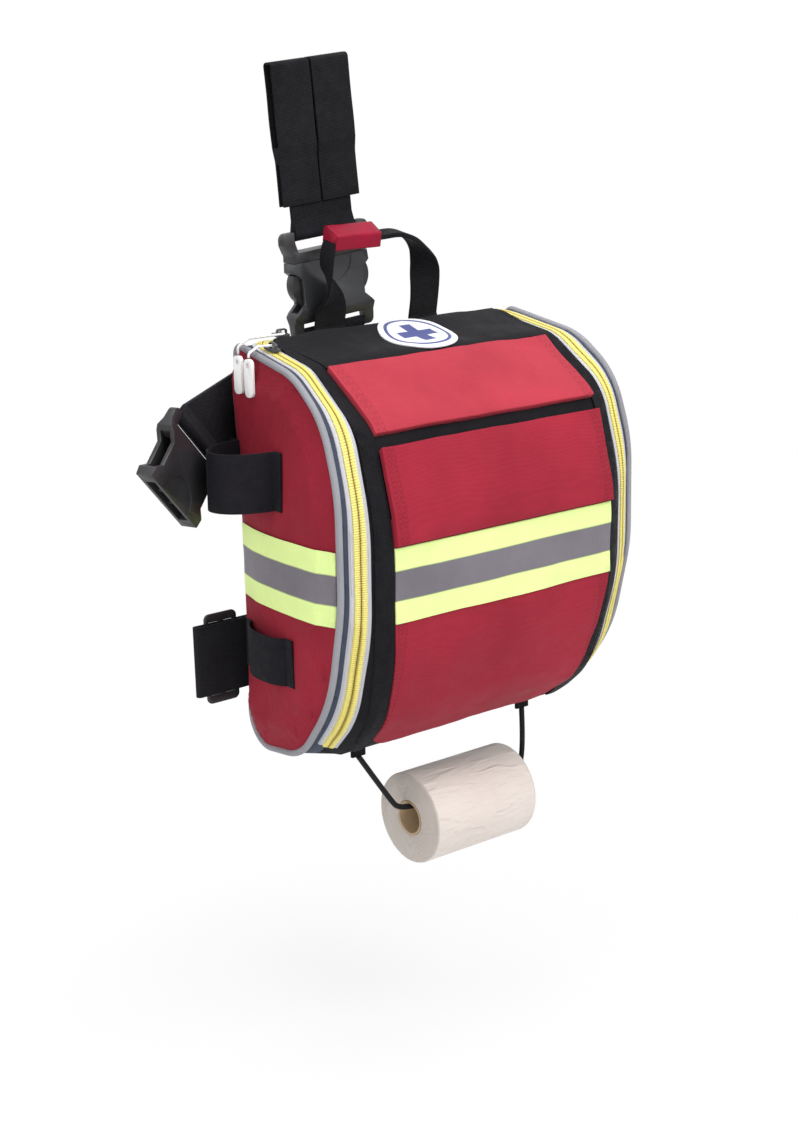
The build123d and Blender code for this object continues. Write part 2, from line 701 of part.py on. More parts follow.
BIND_SKIN = layer(BIND_T, 0)
INSIDE_TAPE = zip_prism(-ZIP_GAP - TAPE_W - FIT)
BIND_SHAPE = red_prism(FIT + BIND_W) - red_prism(FIT)
for side, word in ((-1, "left"), (1, "right")):
    with BuildPart() as binding:
        add(BIND_SKIN)
        add(BIND_SHAPE, mode=Mode.INTERSECT)
        with BuildSketch(side_plane(side * RED_FOOT)):
            add(sector(POCKET_END, TOP_PANEL[1]))
        extrude(amount=side * FAR, mode=Mode.INTERSECT)
        add(INSIDE_TAPE, mode=Mode.INTERSECT)
    save(binding.part, f"cover_binding_{word}")

# ---------------------------------------------------------------- zip
TAPE_SKIN = layer(TAPE_T, 0)
CHAIN_SKIN = layer(TAPE_T + CHAIN_T, TAPE_T)


def zip_half(inner, outer, skin):
    """Strip of a skin between two offsets of the zip line, open behind and under the bag."""
    strip = skin & (zip_prism(outer) - zip_prism(inner))
    return strip & zip_reach


with BuildPart() as reach_solid:
    with BuildSketch(side_plane(-FAR)):
        add(sector(ZIP_END, 100))
        with Locations((BACK_Y + FAR / 2, 0)):
            Rectangle(FAR, 2 * FAR, mode=Mode.SUBTRACT)
    extrude(amount=2 * FAR)
zip_reach = reach_solid.part

save(zip_half(-ZIP_GAP - TAPE_W, -ZIP_GAP, TAPE_SKIN) - HINGE_ZONE, "zip_tape_cover")
save(zip_half(ZIP_GAP, ZIP_GAP + TAPE_W, TAPE_SKIN), "zip_tape_body")
save(zip_half(-ZIP_GAP - CHAIN_W, -ZIP_GAP, CHAIN_SKIN) - HINGE_ZONE, "zip_chain_cover")
save(zip_half(ZIP_GAP, ZIP_GAP + CHAIN_W, CHAIN_SKIN), "zip_chain_body")

# ---------------------------------------------------------------- sliders and pulls
SLOPE = (TOP_Z - FRONT_OUTLINE[1][1]) / (BACK_Y - FRONT_OUTLINE[1][0])
SIDE_SLIDER = (TOE_IN * SIDE_SLIDER_Y - ZIP_HALF, SIDE_SLIDER_Y)
LIFT = TAPE_T + CHAIN_T + FIT


def roof_plane(x, y):
    """Plane on the sloping top of the bag, local y pointing up its slope."""
    z = TOP_Z + SLOPE * (y - BACK_Y)
    return Plane(origin=BAG + Vector(x, y, z), x_dir=(1, 0, 0), z_dir=(0, -SLOPE, 1))


def zip_slider(place, crosswise):
    """Slider that rides on the chain, with a bridge for the cord of its pull."""
    roof = roof_plane(*place).offset(LIFT)
    ride = Plane(origin=roof.origin, x_dir=crosswise, z_dir=roof.z_dir)
    half = SLIDER_W / 2
    with BuildPart() as slider:
        with BuildSketch(ride):
            with BuildLine():
                Polyline(
                    (-0.7 * half, -SLIDER_L / 2), (0.7 * half, -SLIDER_L / 2), (half, SLIDER_L / 4),
                    (half, SLIDER_L / 2), (-half, SLIDER_L / 2), (-half, SLIDER_L / 4), close=True,
                )
            make_face()
            fillet(vertices(), radius=1)
        extrude(amount=SLIDER_T)
        with BuildSketch(across(ride.offset(SLIDER_T), -1)):
            RectangleRounded(SLIDER_L - 3, 2 * BRIDGE_H, 1.5)
            Rectangle(SLIDER_L - 3 - 2 * BRIDGE_T, 2 * (BRIDGE_H - BRIDGE_T), mode=Mode.SUBTRACT)
            with Locations((0, -BRIDGE_H)):
                Rectangle(SLIDER_L, 2 * BRIDGE_H, mode=Mode.SUBTRACT)
        extrude(amount=2)
    return slider.part


def pull_cord(points):
    """Thin cord from a slider's bridge out over the piping to the top of its pull."""
    with BuildPart() as thin_cord:
        with BuildLine() as run:
            FilletPolyline(*[BAG + Vector(*p) for p in points], radius=2.5)
        with BuildSketch(Plane(origin=run.line @ 0, z_dir=run.line % 0)):
            Circle(PULL_CORD_R)
        sweep(path=run.line)
    return thin_cord.part


def zip_pull(y, top):
    """Moulded pull that hangs beside the bag, with the eye it is tied through."""
    with BuildPart() as pull:
        with BuildSketch(side_plane(PULL_X - PULL_T / 2)):
            with Locations((y, top - PULL_L / 2)):
                RectangleRounded(PULL_W, PULL_L, 0.4 * PULL_W)
            with Locations((y, top - PULL_W / 2)):
                Circle(PULL_EYE, mode=Mode.SUBTRACT)
        extrude(amount=PULL_T)
    return pull.part


def bridge_height(place):
    """Middle of the bridge's opening over a place on the top of the bag."""
    return TOP_Z + SLOPE * (place[1] - BACK_Y) + LIFT + SLIDER_T + (BRIDGE_H - BRIDGE_T) / 2


save(zip_slider(SIDE_SLIDER, (1, -TOE_IN, -TOE_IN * SLOPE)), "zip_slider_side")
save(zip_slider(REAR_SLIDER, (0, 1, SLOPE)), "zip_slider_rear")
side_z = bridge_height(SIDE_SLIDER)
rear_z = bridge_height(REAR_SLIDER)
hang = PULL_CORD_R + TIE_GAP
side_cord = [
    (SIDE_SLIDER[0] + 2, PULL_Y[0], side_z), (PULL_X + 8, PULL_Y[0], side_z + 1),
    (PULL_X, PULL_Y[0], side_z - 3), (PULL_X, PULL_Y[0], PULL_TOP[0] + hang),
]
rear_cord = [
    (REAR_SLIDER[0], REAR_SLIDER[1] + 3, rear_z + 3 * SLOPE),
    (REAR_SLIDER[0], REAR_SLIDER[1] - 5, rear_z - 5 * SLOPE),
    (PULL_X + 9, PULL_Y[1], rear_z + 0.5), (PULL_X, PULL_Y[1], rear_z - 4),
    (PULL_X, PULL_Y[1], PULL_TOP[1] + hang),
]
save(pull_cord(side_cord), "pull_cord_side")
save(pull_cord(rear_cord), "pull_cord_rear")
save(zip_pull(PULL_Y[0], PULL_TOP[0]), "zip_pull_side")
save(zip_pull(PULL_Y[1], PULL_TOP[1]), "zip_pull_rear")

# ---------------------------------------------------------------- carry handle
HANDLE_PLANE = Plane(
    origin=BAG + Vector(0, HANDLE_Y, HANDLE_Z), x_dir=(1, 0, 0),
    z_dir=(0, -cos(radians(HANDLE_LEAN)), -sin(radians(HANDLE_LEAN))),
)


def webbing_run(stations):
    """Webbing that turns from flat to upright along a list of stations."""
    ahead = HANDLE_PLANE.z_dir
    points = [HANDLE_PLANE.from_local_coords(Vector(*station[:3])) for station in stations]
    nearby = [points[0]] + points + [points[-1]]
    with BuildPart() as run:
        for here, before, after, station in zip(points, nearby, nearby[2:], stations):
            width, thick, turn = station[3:]
            along = (after - before).normalized()
            flat = ahead.cross(along).normalized()
            wide = flat * cos(radians(turn)) + along.cross(flat) * sin(radians(turn))
            with BuildSketch(Plane(origin=here, x_dir=wide, z_dir=along)):
                Rectangle(width, thick)
        loft(ruled=True)
    return run.part


handle = webbing_run(LEFT_RUN + RIGHT_RUN)
save(handle, "handle_webbing")

grip_end = HANDLE_PLANE.from_local_coords(Vector(GRIP_X + GRIP_LEN / 2, GRIP_UP, LEFT_RUN[-1][2]))
with BuildPart() as grip:
    with BuildSketch(Plane(origin=grip_end, x_dir=HANDLE_PLANE.z_dir, z_dir=-HANDLE_PLANE.x_dir)):
        with BuildLine():
            FilletPolyline((7.5, -6.5), (7.5, 4.5), (-7.5, 9.5), (-7.5, -3.5), radius=[1.5, 2, 2.5, 2.5], close=True)
        make_face()
    extrude(amount=GRIP_LEN)
    add(handle, mode=Mode.SUBTRACT)
save(grip.part, "handle_grip")

with BuildPart() as roots:
    with BuildSketch(front_plane(HANDLE_Y - HANDLE_T / 2)):
        root_top = HANDLE_Z - HANDLE_T / 2 - FIT
        for leg in HANDLE_X:
            with Locations((leg, (root_top + BACK_TOP) / 2)):
                Rectangle(HANDLE_W, root_top - BACK_TOP)
    extrude(amount=-HANDLE_T)
save(roots.part, "handle_roots")

with BuildPart() as badge:
    with BuildSketch(roof_plane(BADGE_X, BADGE_Y).offset(TOP_PANEL[2])):
        Circle(BADGE_R)
    extrude(amount=BADGE_T)
save(badge.part, "badge")


# ---------------------------------------------------------------- cord and tape roll
def arc_radii(points):
    """Radius at each inner point of a route: as large as its two runs allow."""
    radii = []
    for before, here, after in zip(points, points[1:], points[2:]):
        run_in = Vector(*here) - Vector(*before)
        run_out = Vector(*after) - Vector(*here)
        turn = radians(run_in.get_angle(run_out))
        radii.append(0.45 * min(run_in.length, run_out.length) / tan(turn / 2))
    return radii


cord_radii = arc_radii(CORD_ROUTE)
anchors = []
for (x, z), word in ((CORD_ROUTE[0], "left"), (CORD_ROUTE[-1], "right")):
    with BuildPart() as anchor:
        with BuildSketch(top_plane(z)):
            with Locations((x, CORD_Y)):
                RectangleRounded(ANCHOR_W, ANCHOR_T, 1)
        extrude(amount=ROLL_R)
        add(bag_volume(ANCHOR_GAP), mode=Mode.SUBTRACT)
    anchors.append(anchor.part)
    save(anchor.part, f"cord_anchor_{word}")

with BuildPart() as cord:
    with BuildLine(front_plane(CORD_Y)) as route:
        FilletPolyline(*CORD_ROUTE, radius=cord_radii)
    with BuildSketch(Plane(origin=route.line @ 0, z_dir=route.line % 0)):
        Circle(CORD_R)
    sweep(path=route.line)
    for tab in anchors:
        add(tab, mode=Mode.SUBTRACT)
save(cord.part, "elastic_cord")
cord_length = sum(edge.length for edge in route.edges())
print("cord length", round(cord_length, 1), "radii", [round(r, 1) for r in cord_radii])
print("cord volume over section times length", round(cord.part.volume / (pi * CORD_R**2 * cord_length), 4))

for name, outer, inner in (("tape_roll", ROLL_R, CORE_R + CORE_T), ("tape_core", CORE_R + CORE_T, CORE_R)):
    with BuildPart() as ring:
        with BuildSketch(side_plane(ROLL_X - ROLL_L / 2)):
            with Locations((CORD_Y, ROLL_Z)):
                Circle(outer)
                Circle(inner, mode=Mode.SUBTRACT)
        extrude(amount=ROLL_L)
    save(ring.part, name)

# ---------------------------------------------------------------- leg straps
REAR_FACE = BACK_Y + BACK_T
level = Vector(cos(radians(LEG_YAW)), sin(radians(LEG_YAW)), 0)
outward = level * -sin(radians(LEG_DROOP)) + Vector(0, 0, -cos(radians(LEG_DROOP)))
leg_face = Vector(sin(radians(LEG_YAW)), -cos(radians(LEG_YAW)), 0)
LEG_BUCKLE = Plane(origin=BAG + Vector(*LEG_MOUTH), x_dir=outward.cross(leg_face), z_dir=leg_face)
save(female_shell(LEG_BUCKLE), "leg_buckle_female_shell")

TAB_NECK = FEMALE_BAR + 9.0
sewn_edge = BAG + Vector(-BACK_HALF, REAR_FACE + PLY, LEG_TAB_Z)
with BuildPart() as leg_tab:
    add(webbing_eye(LEG_BUCKLE, -FEMALE_BAR, -TAB_NECK))
    neck_end = LEG_BUCKLE.origin - LEG_BUCKLE.y_dir * TAB_NECK
    with BuildSketch(Plane(origin=neck_end, x_dir=LEG_BUCKLE.x_dir, z_dir=LEG_BUCKLE.y_dir)):
        Rectangle(WEB, 2 * PLY)
    with BuildSketch(Plane(origin=sewn_edge, x_dir=(0, 0, -1), z_dir=(-1, 0, 0))):
        Rectangle(WEB, 2 * PLY)
    loft(ruled=True)
    with BuildSketch(Plane(origin=sewn_edge, x_dir=(0, 0, -1), z_dir=(1, 0, 0))):
        Rectangle(WEB, 2 * PLY)
    extrude(amount=BACK_CORNER)
save(leg_tab.part, "leg_strap_tab")

# The other half of the upper leg strap lies folded flat behind the bag.
LEG_MALE = Plane(
    origin=BAG + Vector(LEG_BAR_X - MALE_TOP, REAR_FACE + MALE_THICK / 2 + 2 * FIT, LEG_STRAP_Z),
    x_dir=(0, 0, 1), z_dir=(0, 1, 0),
)
save(male_frame(LEG_MALE), "leg_buckle_male_frame")
save(male_prongs(LEG_MALE), "leg_buckle_male_prongs")
with BuildPart() as leg_strap:
    pivot = LEG_PIVOT_X - LEG_BAR_X + MALE_TOP
    drop = REAR_FACE + FIT + PLY - (REAR_FACE + MALE_THICK / 2 + 2 * FIT)
    flat_end = pivot - 3 * MALE_THICK / 2
    add(webbing_eye(LEG_MALE, MALE_TOP, flat_end))
    with BuildSketch(across(LEG_MALE, -WEB / 2)):
        with BuildLine():
            Polyline((flat_end, -PLY), (flat_end, PLY), (pivot, drop + PLY), (pivot, drop - PLY), close=True)
        make_face()
        with Locations((pivot, drop)):
            Circle(PLY)
    extrude(amount=WEB)
save(leg_strap.part, "leg_strap_upper")

STRAP_IN = REAR_FACE + PLY / 2
STRAP_OUT = STRAP_IN + PLY + GLIDE_T + 2.6 * FIT
with BuildPart() as lower_strap:
    with BuildSketch(top_plane(LOWER_STRAP_Z - WEB / 2)):
        with BuildLine():
            FilletPolyline(
                (BACK_HALF - 5, STRAP_IN), (BACK_HALF - 21, STRAP_IN), (BACK_HALF - 33, STRAP_OUT),
                (FOLD_X, STRAP_OUT), (FOLD_X, STRAP_IN), (BACK_CORNER - BACK_HALF, STRAP_IN),
                radius=[4, 4, 1.9, 1.9],
            )
        trace(line_width=PLY)
    extrude(amount=WEB)
save(lower_strap.part, "leg_strap_lower")

with BuildPart() as glide:
    with BuildSketch(front_plane((STRAP_IN + STRAP_OUT - GLIDE_T) / 2)):
        with Locations((GLIDE_X, LOWER_STRAP_Z)):
            RectangleRounded(GLIDE_W, GLIDE_H, 4)
            with GridLocations(GLIDE_W / 2 - 1, 1, 2, 1):
                Rectangle(GLIDE_W / 2 - 5, SLOT_W, mode=Mode.SUBTRACT)
    extrude(amount=-GLIDE_T)
save(glide.part, "tri_glide")

for label, plane, bar in (("leg female bar", LEG_BUCKLE, -FEMALE_BAR), ("leg male bar", LEG_MALE, MALE_TOP)):
    at = plane.origin + plane.y_dir * bar
    print(label, [round(v, 3) for v in (at.X, at.Y, at.Z)], [round(v, 5) for v in tuple(plane.x_dir)])
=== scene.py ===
"""Looks of a thigh first-aid pouch: nylon panels, webbing, zip, reflective bands and fittings."""
import json
import math

import bmesh
import bpy
from mathutils import Matrix, Vector, noise


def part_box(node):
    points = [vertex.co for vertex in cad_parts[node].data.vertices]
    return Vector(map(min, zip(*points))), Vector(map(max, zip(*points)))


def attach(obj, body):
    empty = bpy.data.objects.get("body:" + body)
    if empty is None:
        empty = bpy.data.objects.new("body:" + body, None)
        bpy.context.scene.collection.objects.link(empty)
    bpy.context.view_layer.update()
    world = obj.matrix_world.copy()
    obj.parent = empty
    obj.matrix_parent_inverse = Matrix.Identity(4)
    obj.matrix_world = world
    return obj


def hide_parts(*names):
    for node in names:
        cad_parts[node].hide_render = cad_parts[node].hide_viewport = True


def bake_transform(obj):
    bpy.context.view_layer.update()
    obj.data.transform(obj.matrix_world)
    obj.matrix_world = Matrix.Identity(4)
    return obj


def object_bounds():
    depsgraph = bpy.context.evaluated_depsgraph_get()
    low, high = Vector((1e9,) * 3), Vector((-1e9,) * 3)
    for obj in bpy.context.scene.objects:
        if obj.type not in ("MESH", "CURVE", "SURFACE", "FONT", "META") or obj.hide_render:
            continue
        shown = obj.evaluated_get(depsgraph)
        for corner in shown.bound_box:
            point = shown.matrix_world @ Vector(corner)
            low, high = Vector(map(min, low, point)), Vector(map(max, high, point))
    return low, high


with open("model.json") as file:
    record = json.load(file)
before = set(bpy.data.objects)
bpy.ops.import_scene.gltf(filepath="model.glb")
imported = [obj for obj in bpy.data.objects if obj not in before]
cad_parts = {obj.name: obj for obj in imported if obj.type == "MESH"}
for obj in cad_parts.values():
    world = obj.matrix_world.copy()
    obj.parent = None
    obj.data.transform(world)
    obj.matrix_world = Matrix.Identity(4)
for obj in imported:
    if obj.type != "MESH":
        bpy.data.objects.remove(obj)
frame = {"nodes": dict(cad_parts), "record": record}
cad_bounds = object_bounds()
NODES = frame["nodes"]
MM = 0.001

# The bag's reference point: middle of its width, centre line of the reflective band
band_low, band_high = (Vector(corner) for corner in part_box("reflective_band_front"))
pad_low, pad_high = (Vector(corner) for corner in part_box("back_panel"))
BAG = (band_low + band_high) / 2
BAG.y = pad_high.y - 20 * MM
RED_HALF = (band_high.x - band_low.x) / 2
BACK_HALF = (pad_high.x - pad_low.x) / 2
SIDE_HALF = BACK_HALF + 8 * MM        # the piping, level with BAG
ZIP_LINE = SIDE_HALF - 12 * MM        # the zip, level with BAG
REAR_ZIP = 6 * MM                     # the zip's run behind the top
TOE_IN = math.tan(math.radians(4))    # the sides close in towards the back
LEAN = math.radians(5)                # lean of the hanger
CORD_Y = -45                          # the elastic cord's plane, in mm from BAG
STITCH = 3.2 * MM                     # one stitch and its gap
FLOOR_DROP = 140 * MM                 # room under the object for the open cover
WELD = 0.00002                        # points of a solid nearer than this are one
# Each front panel's lowest and highest angle, in degrees up from the front about BAG
TOP_SPAN, PAD_SPAN, FLAP_SPAN, POCKET_SPAN = (67.2, 89.4), (42.4, 66.6), (11.9, 38.4), (-62, 20)
AXES = {"x": (1, 0, 0), "y": (0, 1, 0), "z": (0, 0, 1)}

WHITE = (0.80, 0.80, 0.79)
BLACK = (0.0090, 0.0085, 0.0108)
DEEP_RED = (0.285, 0.0175, 0.034)
# The upper pad's red: the same red fabric, painted lighter because the pad faces up towards the light
UPPER_RED_PAINTED_LIGHT = (0.44, 0.042, 0.064)
SILVER = (0.30, 0.30, 0.33)
HI_VIS = (0.78, 0.95, 0.36)
ZIP_YELLOW = (0.84, 0.73, 0.19)


def add(name, data):
    """New object of this data, in the scene."""
    obj = bpy.data.objects.new(name, data)
    bpy.context.scene.collection.objects.link(obj)
    return obj


def mesh_of(bm, name):
    """Mesh of a bmesh, which is freed."""
    mesh = bpy.data.meshes.new(name)
    bm.to_mesh(mesh)
    bm.free()
    return mesh


def skin(bm, rings):
    """Closed skin over rings of points, with a cap at each end."""
    for lower, upper in zip(rings, rings[1:]):
        for corners in zip(lower, lower[1:] + lower[:1], upper[1:] + upper[:1], upper):
            bm.faces.new(corners)
    bm.faces.new(rings[0][::-1])
    bm.faces.new(rings[-1])
    bmesh.ops.recalc_face_normals(bm, faces=bm.faces)


# ------------------------------------------------------------------ camera and light
def camera_matrix(azimuth, elevation, roll, place):
    """Matrix of a camera that looks across the object at these angles, in degrees."""
    a, e, r = (math.radians(v) for v in (azimuth, elevation, roll))
    right = Vector((math.cos(a), math.sin(a), 0))
    back = Vector((math.sin(a) * math.cos(e), -math.cos(a) * math.cos(e), math.sin(e)))
    up = back.cross(right)
    level = math.cos(r) * right + math.sin(r) * up
    upright = -math.sin(r) * right + math.cos(r) * up
    turn = Matrix((level, upright, back)).transposed()
    return Matrix.Translation(place) @ turn.to_4x4()


lens = bpy.data.cameras.new("studio_camera")
lens.lens = 63.6
lens.clip_end = 20
camera = add("studio_camera", lens)
camera.matrix_world = camera_matrix(-38.5, 15.1, -1.3, Vector((-0.8104, -1.1029, 0.0467)))
bpy.context.scene.camera = camera
bpy.context.scene.view_settings.view_transform = "Standard"


def area_light(name, place, aim, size, watts):
    lamp = bpy.data.lights.new(name, "AREA")
    lamp.shape = "DISK"
    lamp.size = size
    lamp.energy = watts
    holder = add(name, lamp)
    direction = Vector(aim) - Vector(place)
    holder.matrix_world = Matrix.Translation(place) @ direction.to_track_quat("-Z", "Y").to_matrix().to_4x4()


area_light("key_light", (0.35, -1.5, 1.15), BAG, 1.2, 26)
area_light("top_light", (-0.1, -0.35, 1.35), BAG, 1.4, 15)
area_light("side_light", (-1.7, -0.5, 0.35), BAG, 1.2, 8)


# ------------------------------------------------------------------ material kit
class Finish:
    """A material's node tree, with short calls for the nodes that the finishes here share."""

    def __init__(self, name):
        self.material = bpy.data.materials.new(name)
        self.material.use_nodes = True
        self.tree = self.material.node_tree
        self.skin = self.tree.nodes["Principled BSDF"]
        self.place = self.node("ShaderNodeTexCoord").outputs["Object"]

    def node(self, kind, **settings):
        made = self.tree.nodes.new(kind)
        for key, value in settings.items():
            setattr(made, key, value)
        return made

    def feed(self, socket, value):
        if isinstance(value, bpy.types.NodeSocket):
            self.tree.links.new(value, socket)
        else:
            socket.default_value = value

    def math(self, operation, *values):
        made = self.node("ShaderNodeMath", operation=operation)
        for socket, value in zip(made.inputs, values):
            self.feed(socket, value)
        return made.outputs[0]

    def plus(self, first, second):
        return self.math("ADD", first, second)

    def minus(self, first, second):
        return self.math("SUBTRACT", first, second)

    def times(self, first, second):
        return self.math("MULTIPLY", first, second)

    def absolute(self, value):
        return self.math("ABSOLUTE", value)

    def hypot(self, first, second):
        return self.math("SQRT", self.plus(self.times(first, first), self.times(second, second)))

    def waves(self, value, pitch):
        return self.math("SINE", self.times(value, 2 * math.pi / pitch))

    def vector(self, operation, *values):
        made = self.node("ShaderNodeVectorMath", operation=operation)
        for socket, value in zip(made.inputs, values):
            self.feed(socket, value)
        return made.outputs["Value" if operation in ("DOT_PRODUCT", "LENGTH", "DISTANCE") else "Vector"]

    def clouds(self, scale, detail=2.0, place=None):
        made = self.node("ShaderNodeTexNoise")
        made.inputs["Scale"].default_value = scale
        made.inputs["Detail"].default_value = detail
        self.feed(made.inputs["Vector"], place or self.place)
        return made.outputs["Fac"]

    def mix(self, amount, first, second):
        made = self.node("ShaderNodeMix", data_type="RGBA")
        self.feed(made.inputs[0], amount)
        for socket, value in ((made.inputs[6], first), (made.inputs[7], second)):
            self.feed(socket, (*value, 1) if isinstance(value, tuple) else value)
        return made.outputs[2]

    def span(self, value, low, high, out_low=0.0, out_high=1.0):
        made = self.node("ShaderNodeMapRange")
        for socket, setting in zip(made.inputs, (value, low, high, out_low, out_high)):
            self.feed(socket, setting)
        return made.outputs[0]

    def near(self, value, centre, reach, soft=0.25):
        """1 where a value lies within reach of a centre, fading to 0 over a share of the reach."""
        away = self.absolute(self.minus(value, centre))
        return self.span(away, reach * (1 + soft), reach * (1 - soft))

    def weave(self, pitch):
        """Threads that cross on every face of a piece."""
        turns = self.node("ShaderNodeVectorMath", operation="SCALE")
        self.feed(turns.inputs[0], self.place)
        turns.inputs["Scale"].default_value = 2 * math.pi / pitch
        waves = self.vector("SINE", turns.outputs["Vector"])
        return self.span(self.vector("DOT_PRODUCT", waves, (1.0, 1.0, 1.0)), -2.0, 2.0)

    def ribs(self, along, pitch):
        """Ribs across a strap that runs along a direction."""
        run = self.vector("DOT_PRODUCT", self.place, tuple(Vector(along).normalized()))
        return self.waves(run, pitch)

    def relief(self, height, depth, strength=1.0):
        made = self.node("ShaderNodeBump")
        made.inputs["Strength"].default_value = strength
        made.inputs["Distance"].default_value = depth
        self.feed(made.inputs["Height"], height)
        self.feed(self.skin.inputs["Normal"], made.outputs["Normal"])

    def coat(self, colour, roughness, sheen=0.0, sheen_roughness=0.4, specular=0.5):
        self.feed(self.skin.inputs["Base Color"], (*colour, 1) if isinstance(colour, tuple) else colour)
        self.feed(self.skin.inputs["Roughness"], roughness)
        self.skin.inputs["Sheen Weight"].default_value = sheen
        self.skin.inputs["Sheen Roughness"].default_value = sheen_roughness
        self.skin.inputs["Specular IOR Level"].default_value = specular
        return self.material


def shade(colour, factor):
    return tuple(min(1.0, c * factor) for c in colour)


def place_from(finish, point):
    """Place from a point, as separate x, y and z."""
    moved = finish.vector("SUBTRACT", finish.place, tuple(point))
    parts = finish.node("ShaderNodeSeparateXYZ")
    finish.feed(parts.inputs[0], moved)
    return parts.outputs


def bag_place(finish):
    return place_from(finish, BAG)


def from_zip(finish, x, y):
    """Distance from the middle of the zip, whose two sides close in towards the back."""
    line = finish.minus(ZIP_LINE, finish.times(y, TOE_IN))
    return finish.absolute(finish.minus(finish.absolute(x), line))


def nylon(name, colour, pitch=0.85 * MM, sheen=0.04, seams=()):
    """Woven pack nylon: crossing threads, a faint sheen, rubbed patches and upright seams at these
    distances from the middle."""
    finish = Finish(name)
    threads = finish.weave(pitch)
    patches = finish.clouds(14, 3)
    worn = finish.clouds(90, 2)
    tone = finish.mix(finish.span(patches, 0.3, 0.7), shade(colour, 0.86), shade(colour, 1.14))
    tone = finish.mix(finish.times(threads, 0.2), tone, shade(colour, 0.45))
    height = finish.plus(finish.times(threads, 0.5), finish.times(worn, 0.9))
    x, _, z = bag_place(finish)
    for place in seams:
        run = finish.absolute(x)
        line = finish.near(run, place, 0.55 * MM, 0.5)
        dashes = finish.waves(z, STITCH)
        stitch = finish.times(line, finish.span(dashes, -0.6, 0.0))
        # Seam groove: a bump, and darkened along it with painted shade
        shaded_groove = finish.near(run, place, 1.4 * MM, 0.8)
        tone = finish.mix(finish.times(shaded_groove, 0.35), tone, shade(colour, 0.5))
        tone = finish.mix(finish.times(stitch, 0.45), tone, shade(colour, 1.35))
        height = finish.minus(height, finish.times(shaded_groove, 2.2))
        height = finish.plus(height, finish.times(stitch, 1.8))
    finish.relief(height, 0.35 * MM, 0.7)
    rough = finish.span(worn, 0.2, 0.8, 0.62, 0.82)
    return finish.coat(tone, rough, sheen, specular=0.1)


def strap(name, colour, along, pitch=1.2 * MM):
    """Webbing: ribs across its run, warp lines along it and slightly lighter worn spots."""
    finish = Finish(name)
    across = Vector(along).cross(Vector((0, 1, 0)) if abs(along[1]) < 0.5 else Vector((1, 0, 0)))
    ribs = finish.span(finish.ribs(along, pitch), -1, 1)
    warp = finish.span(finish.ribs(across, 2.4 * MM), -1, 1)
    fuzz = finish.clouds(160, 3)
    patches = finish.span(finish.clouds(22, 2), 0.3, 0.7)
    tone = finish.mix(patches, shade(colour, 0.8), shade(colour, 1.3))
    tone = finish.mix(finish.times(ribs, 0.4), tone, shade(colour, 0.45))
    height = finish.plus(ribs, finish.times(warp, 0.6))
    height = finish.plus(height, finish.times(fuzz, 0.8))
    finish.relief(height, 0.3 * MM, 0.8)
    return finish.coat(tone, finish.span(fuzz, 0.3, 0.7, 0.6, 0.85), 0.04, 0.35, 0.1)


def moulded(name, colour, roughness=0.38, grain=900, specular=0.5):
    """Moulded plastic with a fine spark-eroded grain and handling marks."""
    finish = Finish(name)
    grainy = finish.clouds(grain, 2)
    rubbed = finish.clouds(35, 4)
    tone = finish.mix(finish.span(rubbed, 0.35, 0.75), colour, shade(colour, 1.5))
    finish.relief(grainy, 0.06 * MM, 0.5)
    rough = finish.span(rubbed, 0.3, 0.8, roughness - 0.07, roughness + 0.14)
    return finish.coat(tone, rough, specular=specular)


def air_mesh(name, colour):
    """Spacer mesh against the leg: round holes in a knitted face."""
    finish = Finish(name)
    holes = finish.node("ShaderNodeTexVoronoi")
    holes.inputs["Scale"].default_value = 330
    holes.inputs["Randomness"].default_value = 0.25
    finish.feed(holes.inputs["Vector"], finish.place)
    knit_and_hole_shade = finish.span(holes.outputs["Distance"], 0.15, 0.5)
    patches = finish.span(finish.clouds(20, 3), 0.3, 0.7)
    face = finish.mix(patches, shade(colour, 0.85), shade(colour, 1.3))
    # Painted shade darkens the holes; the same mask also gives the bump and the roughness
    tone = finish.mix(knit_and_hole_shade, shade(colour, 0.35), face)
    finish.relief(knit_and_hole_shade, 0.8 * MM, 0.8)
    return finish.coat(tone, finish.span(knit_and_hole_shade, 0, 1, 0.9, 0.7), 0.04, specular=0.1)


def reflective_tape():
    """Fluorescent tape with a silver stripe: prism lattice on the silver, weave on the yellow."""
    finish = Finish("hi_vis_tape")
    z = bag_place(finish)[2]
    silver = finish.near(z, 0.0, 10 * MM, 0.03)
    edge = finish.near(finish.absolute(z), 10 * MM, 0.5 * MM, 0.6)
    weave = finish.weave(1.0 * MM)
    patches = finish.clouds(25, 3)
    yellow = finish.mix(finish.span(patches, 0.3, 0.7), shade(HI_VIS, 0.93), HI_VIS)
    yellow = finish.mix(finish.times(weave, 0.12), yellow, (0.45, 0.7, 0.08))
    grey = finish.mix(finish.span(patches, 0.3, 0.7), (0.125, 0.112, 0.135), (0.17, 0.155, 0.18))
    tone = finish.mix(silver, yellow, grey)
    tone = finish.mix(finish.times(edge, 0.35), tone, (0.2, 0.25, 0.1))
    lattice = finish.times(finish.ribs((1, 1, 1.4), 1.6 * MM), finish.ribs((1, 1, -1.4), 1.6 * MM))
    height = finish.plus(finish.times(lattice, silver), finish.times(weave, 0.5))
    finish.relief(height, 0.2 * MM, 0.5)
    rough = finish.span(silver, 0, 1, 0.6, 0.45)
    return finish.coat(tone, rough, 0.05)


def zip_tape(name, inner, outer):
    """Woven zip tape, ribbed along its length, with a darker tone by the bound edge."""
    finish = Finish(name)
    x, y, _ = bag_place(finish)
    away = from_zip(finish, x, y)
    rows = finish.waves(away, 1.3 * MM)
    tone = finish.mix(finish.span(away, 4.2 * MM, 6.4 * MM), inner, outer)
    tone = finish.mix(finish.times(finish.weave(0.9 * MM), 0.18), tone, shade(outer, 0.6))
    finish.relief(rows, 0.25 * MM, 0.6)
    return finish.coat(tone, 0.7, 0.2)


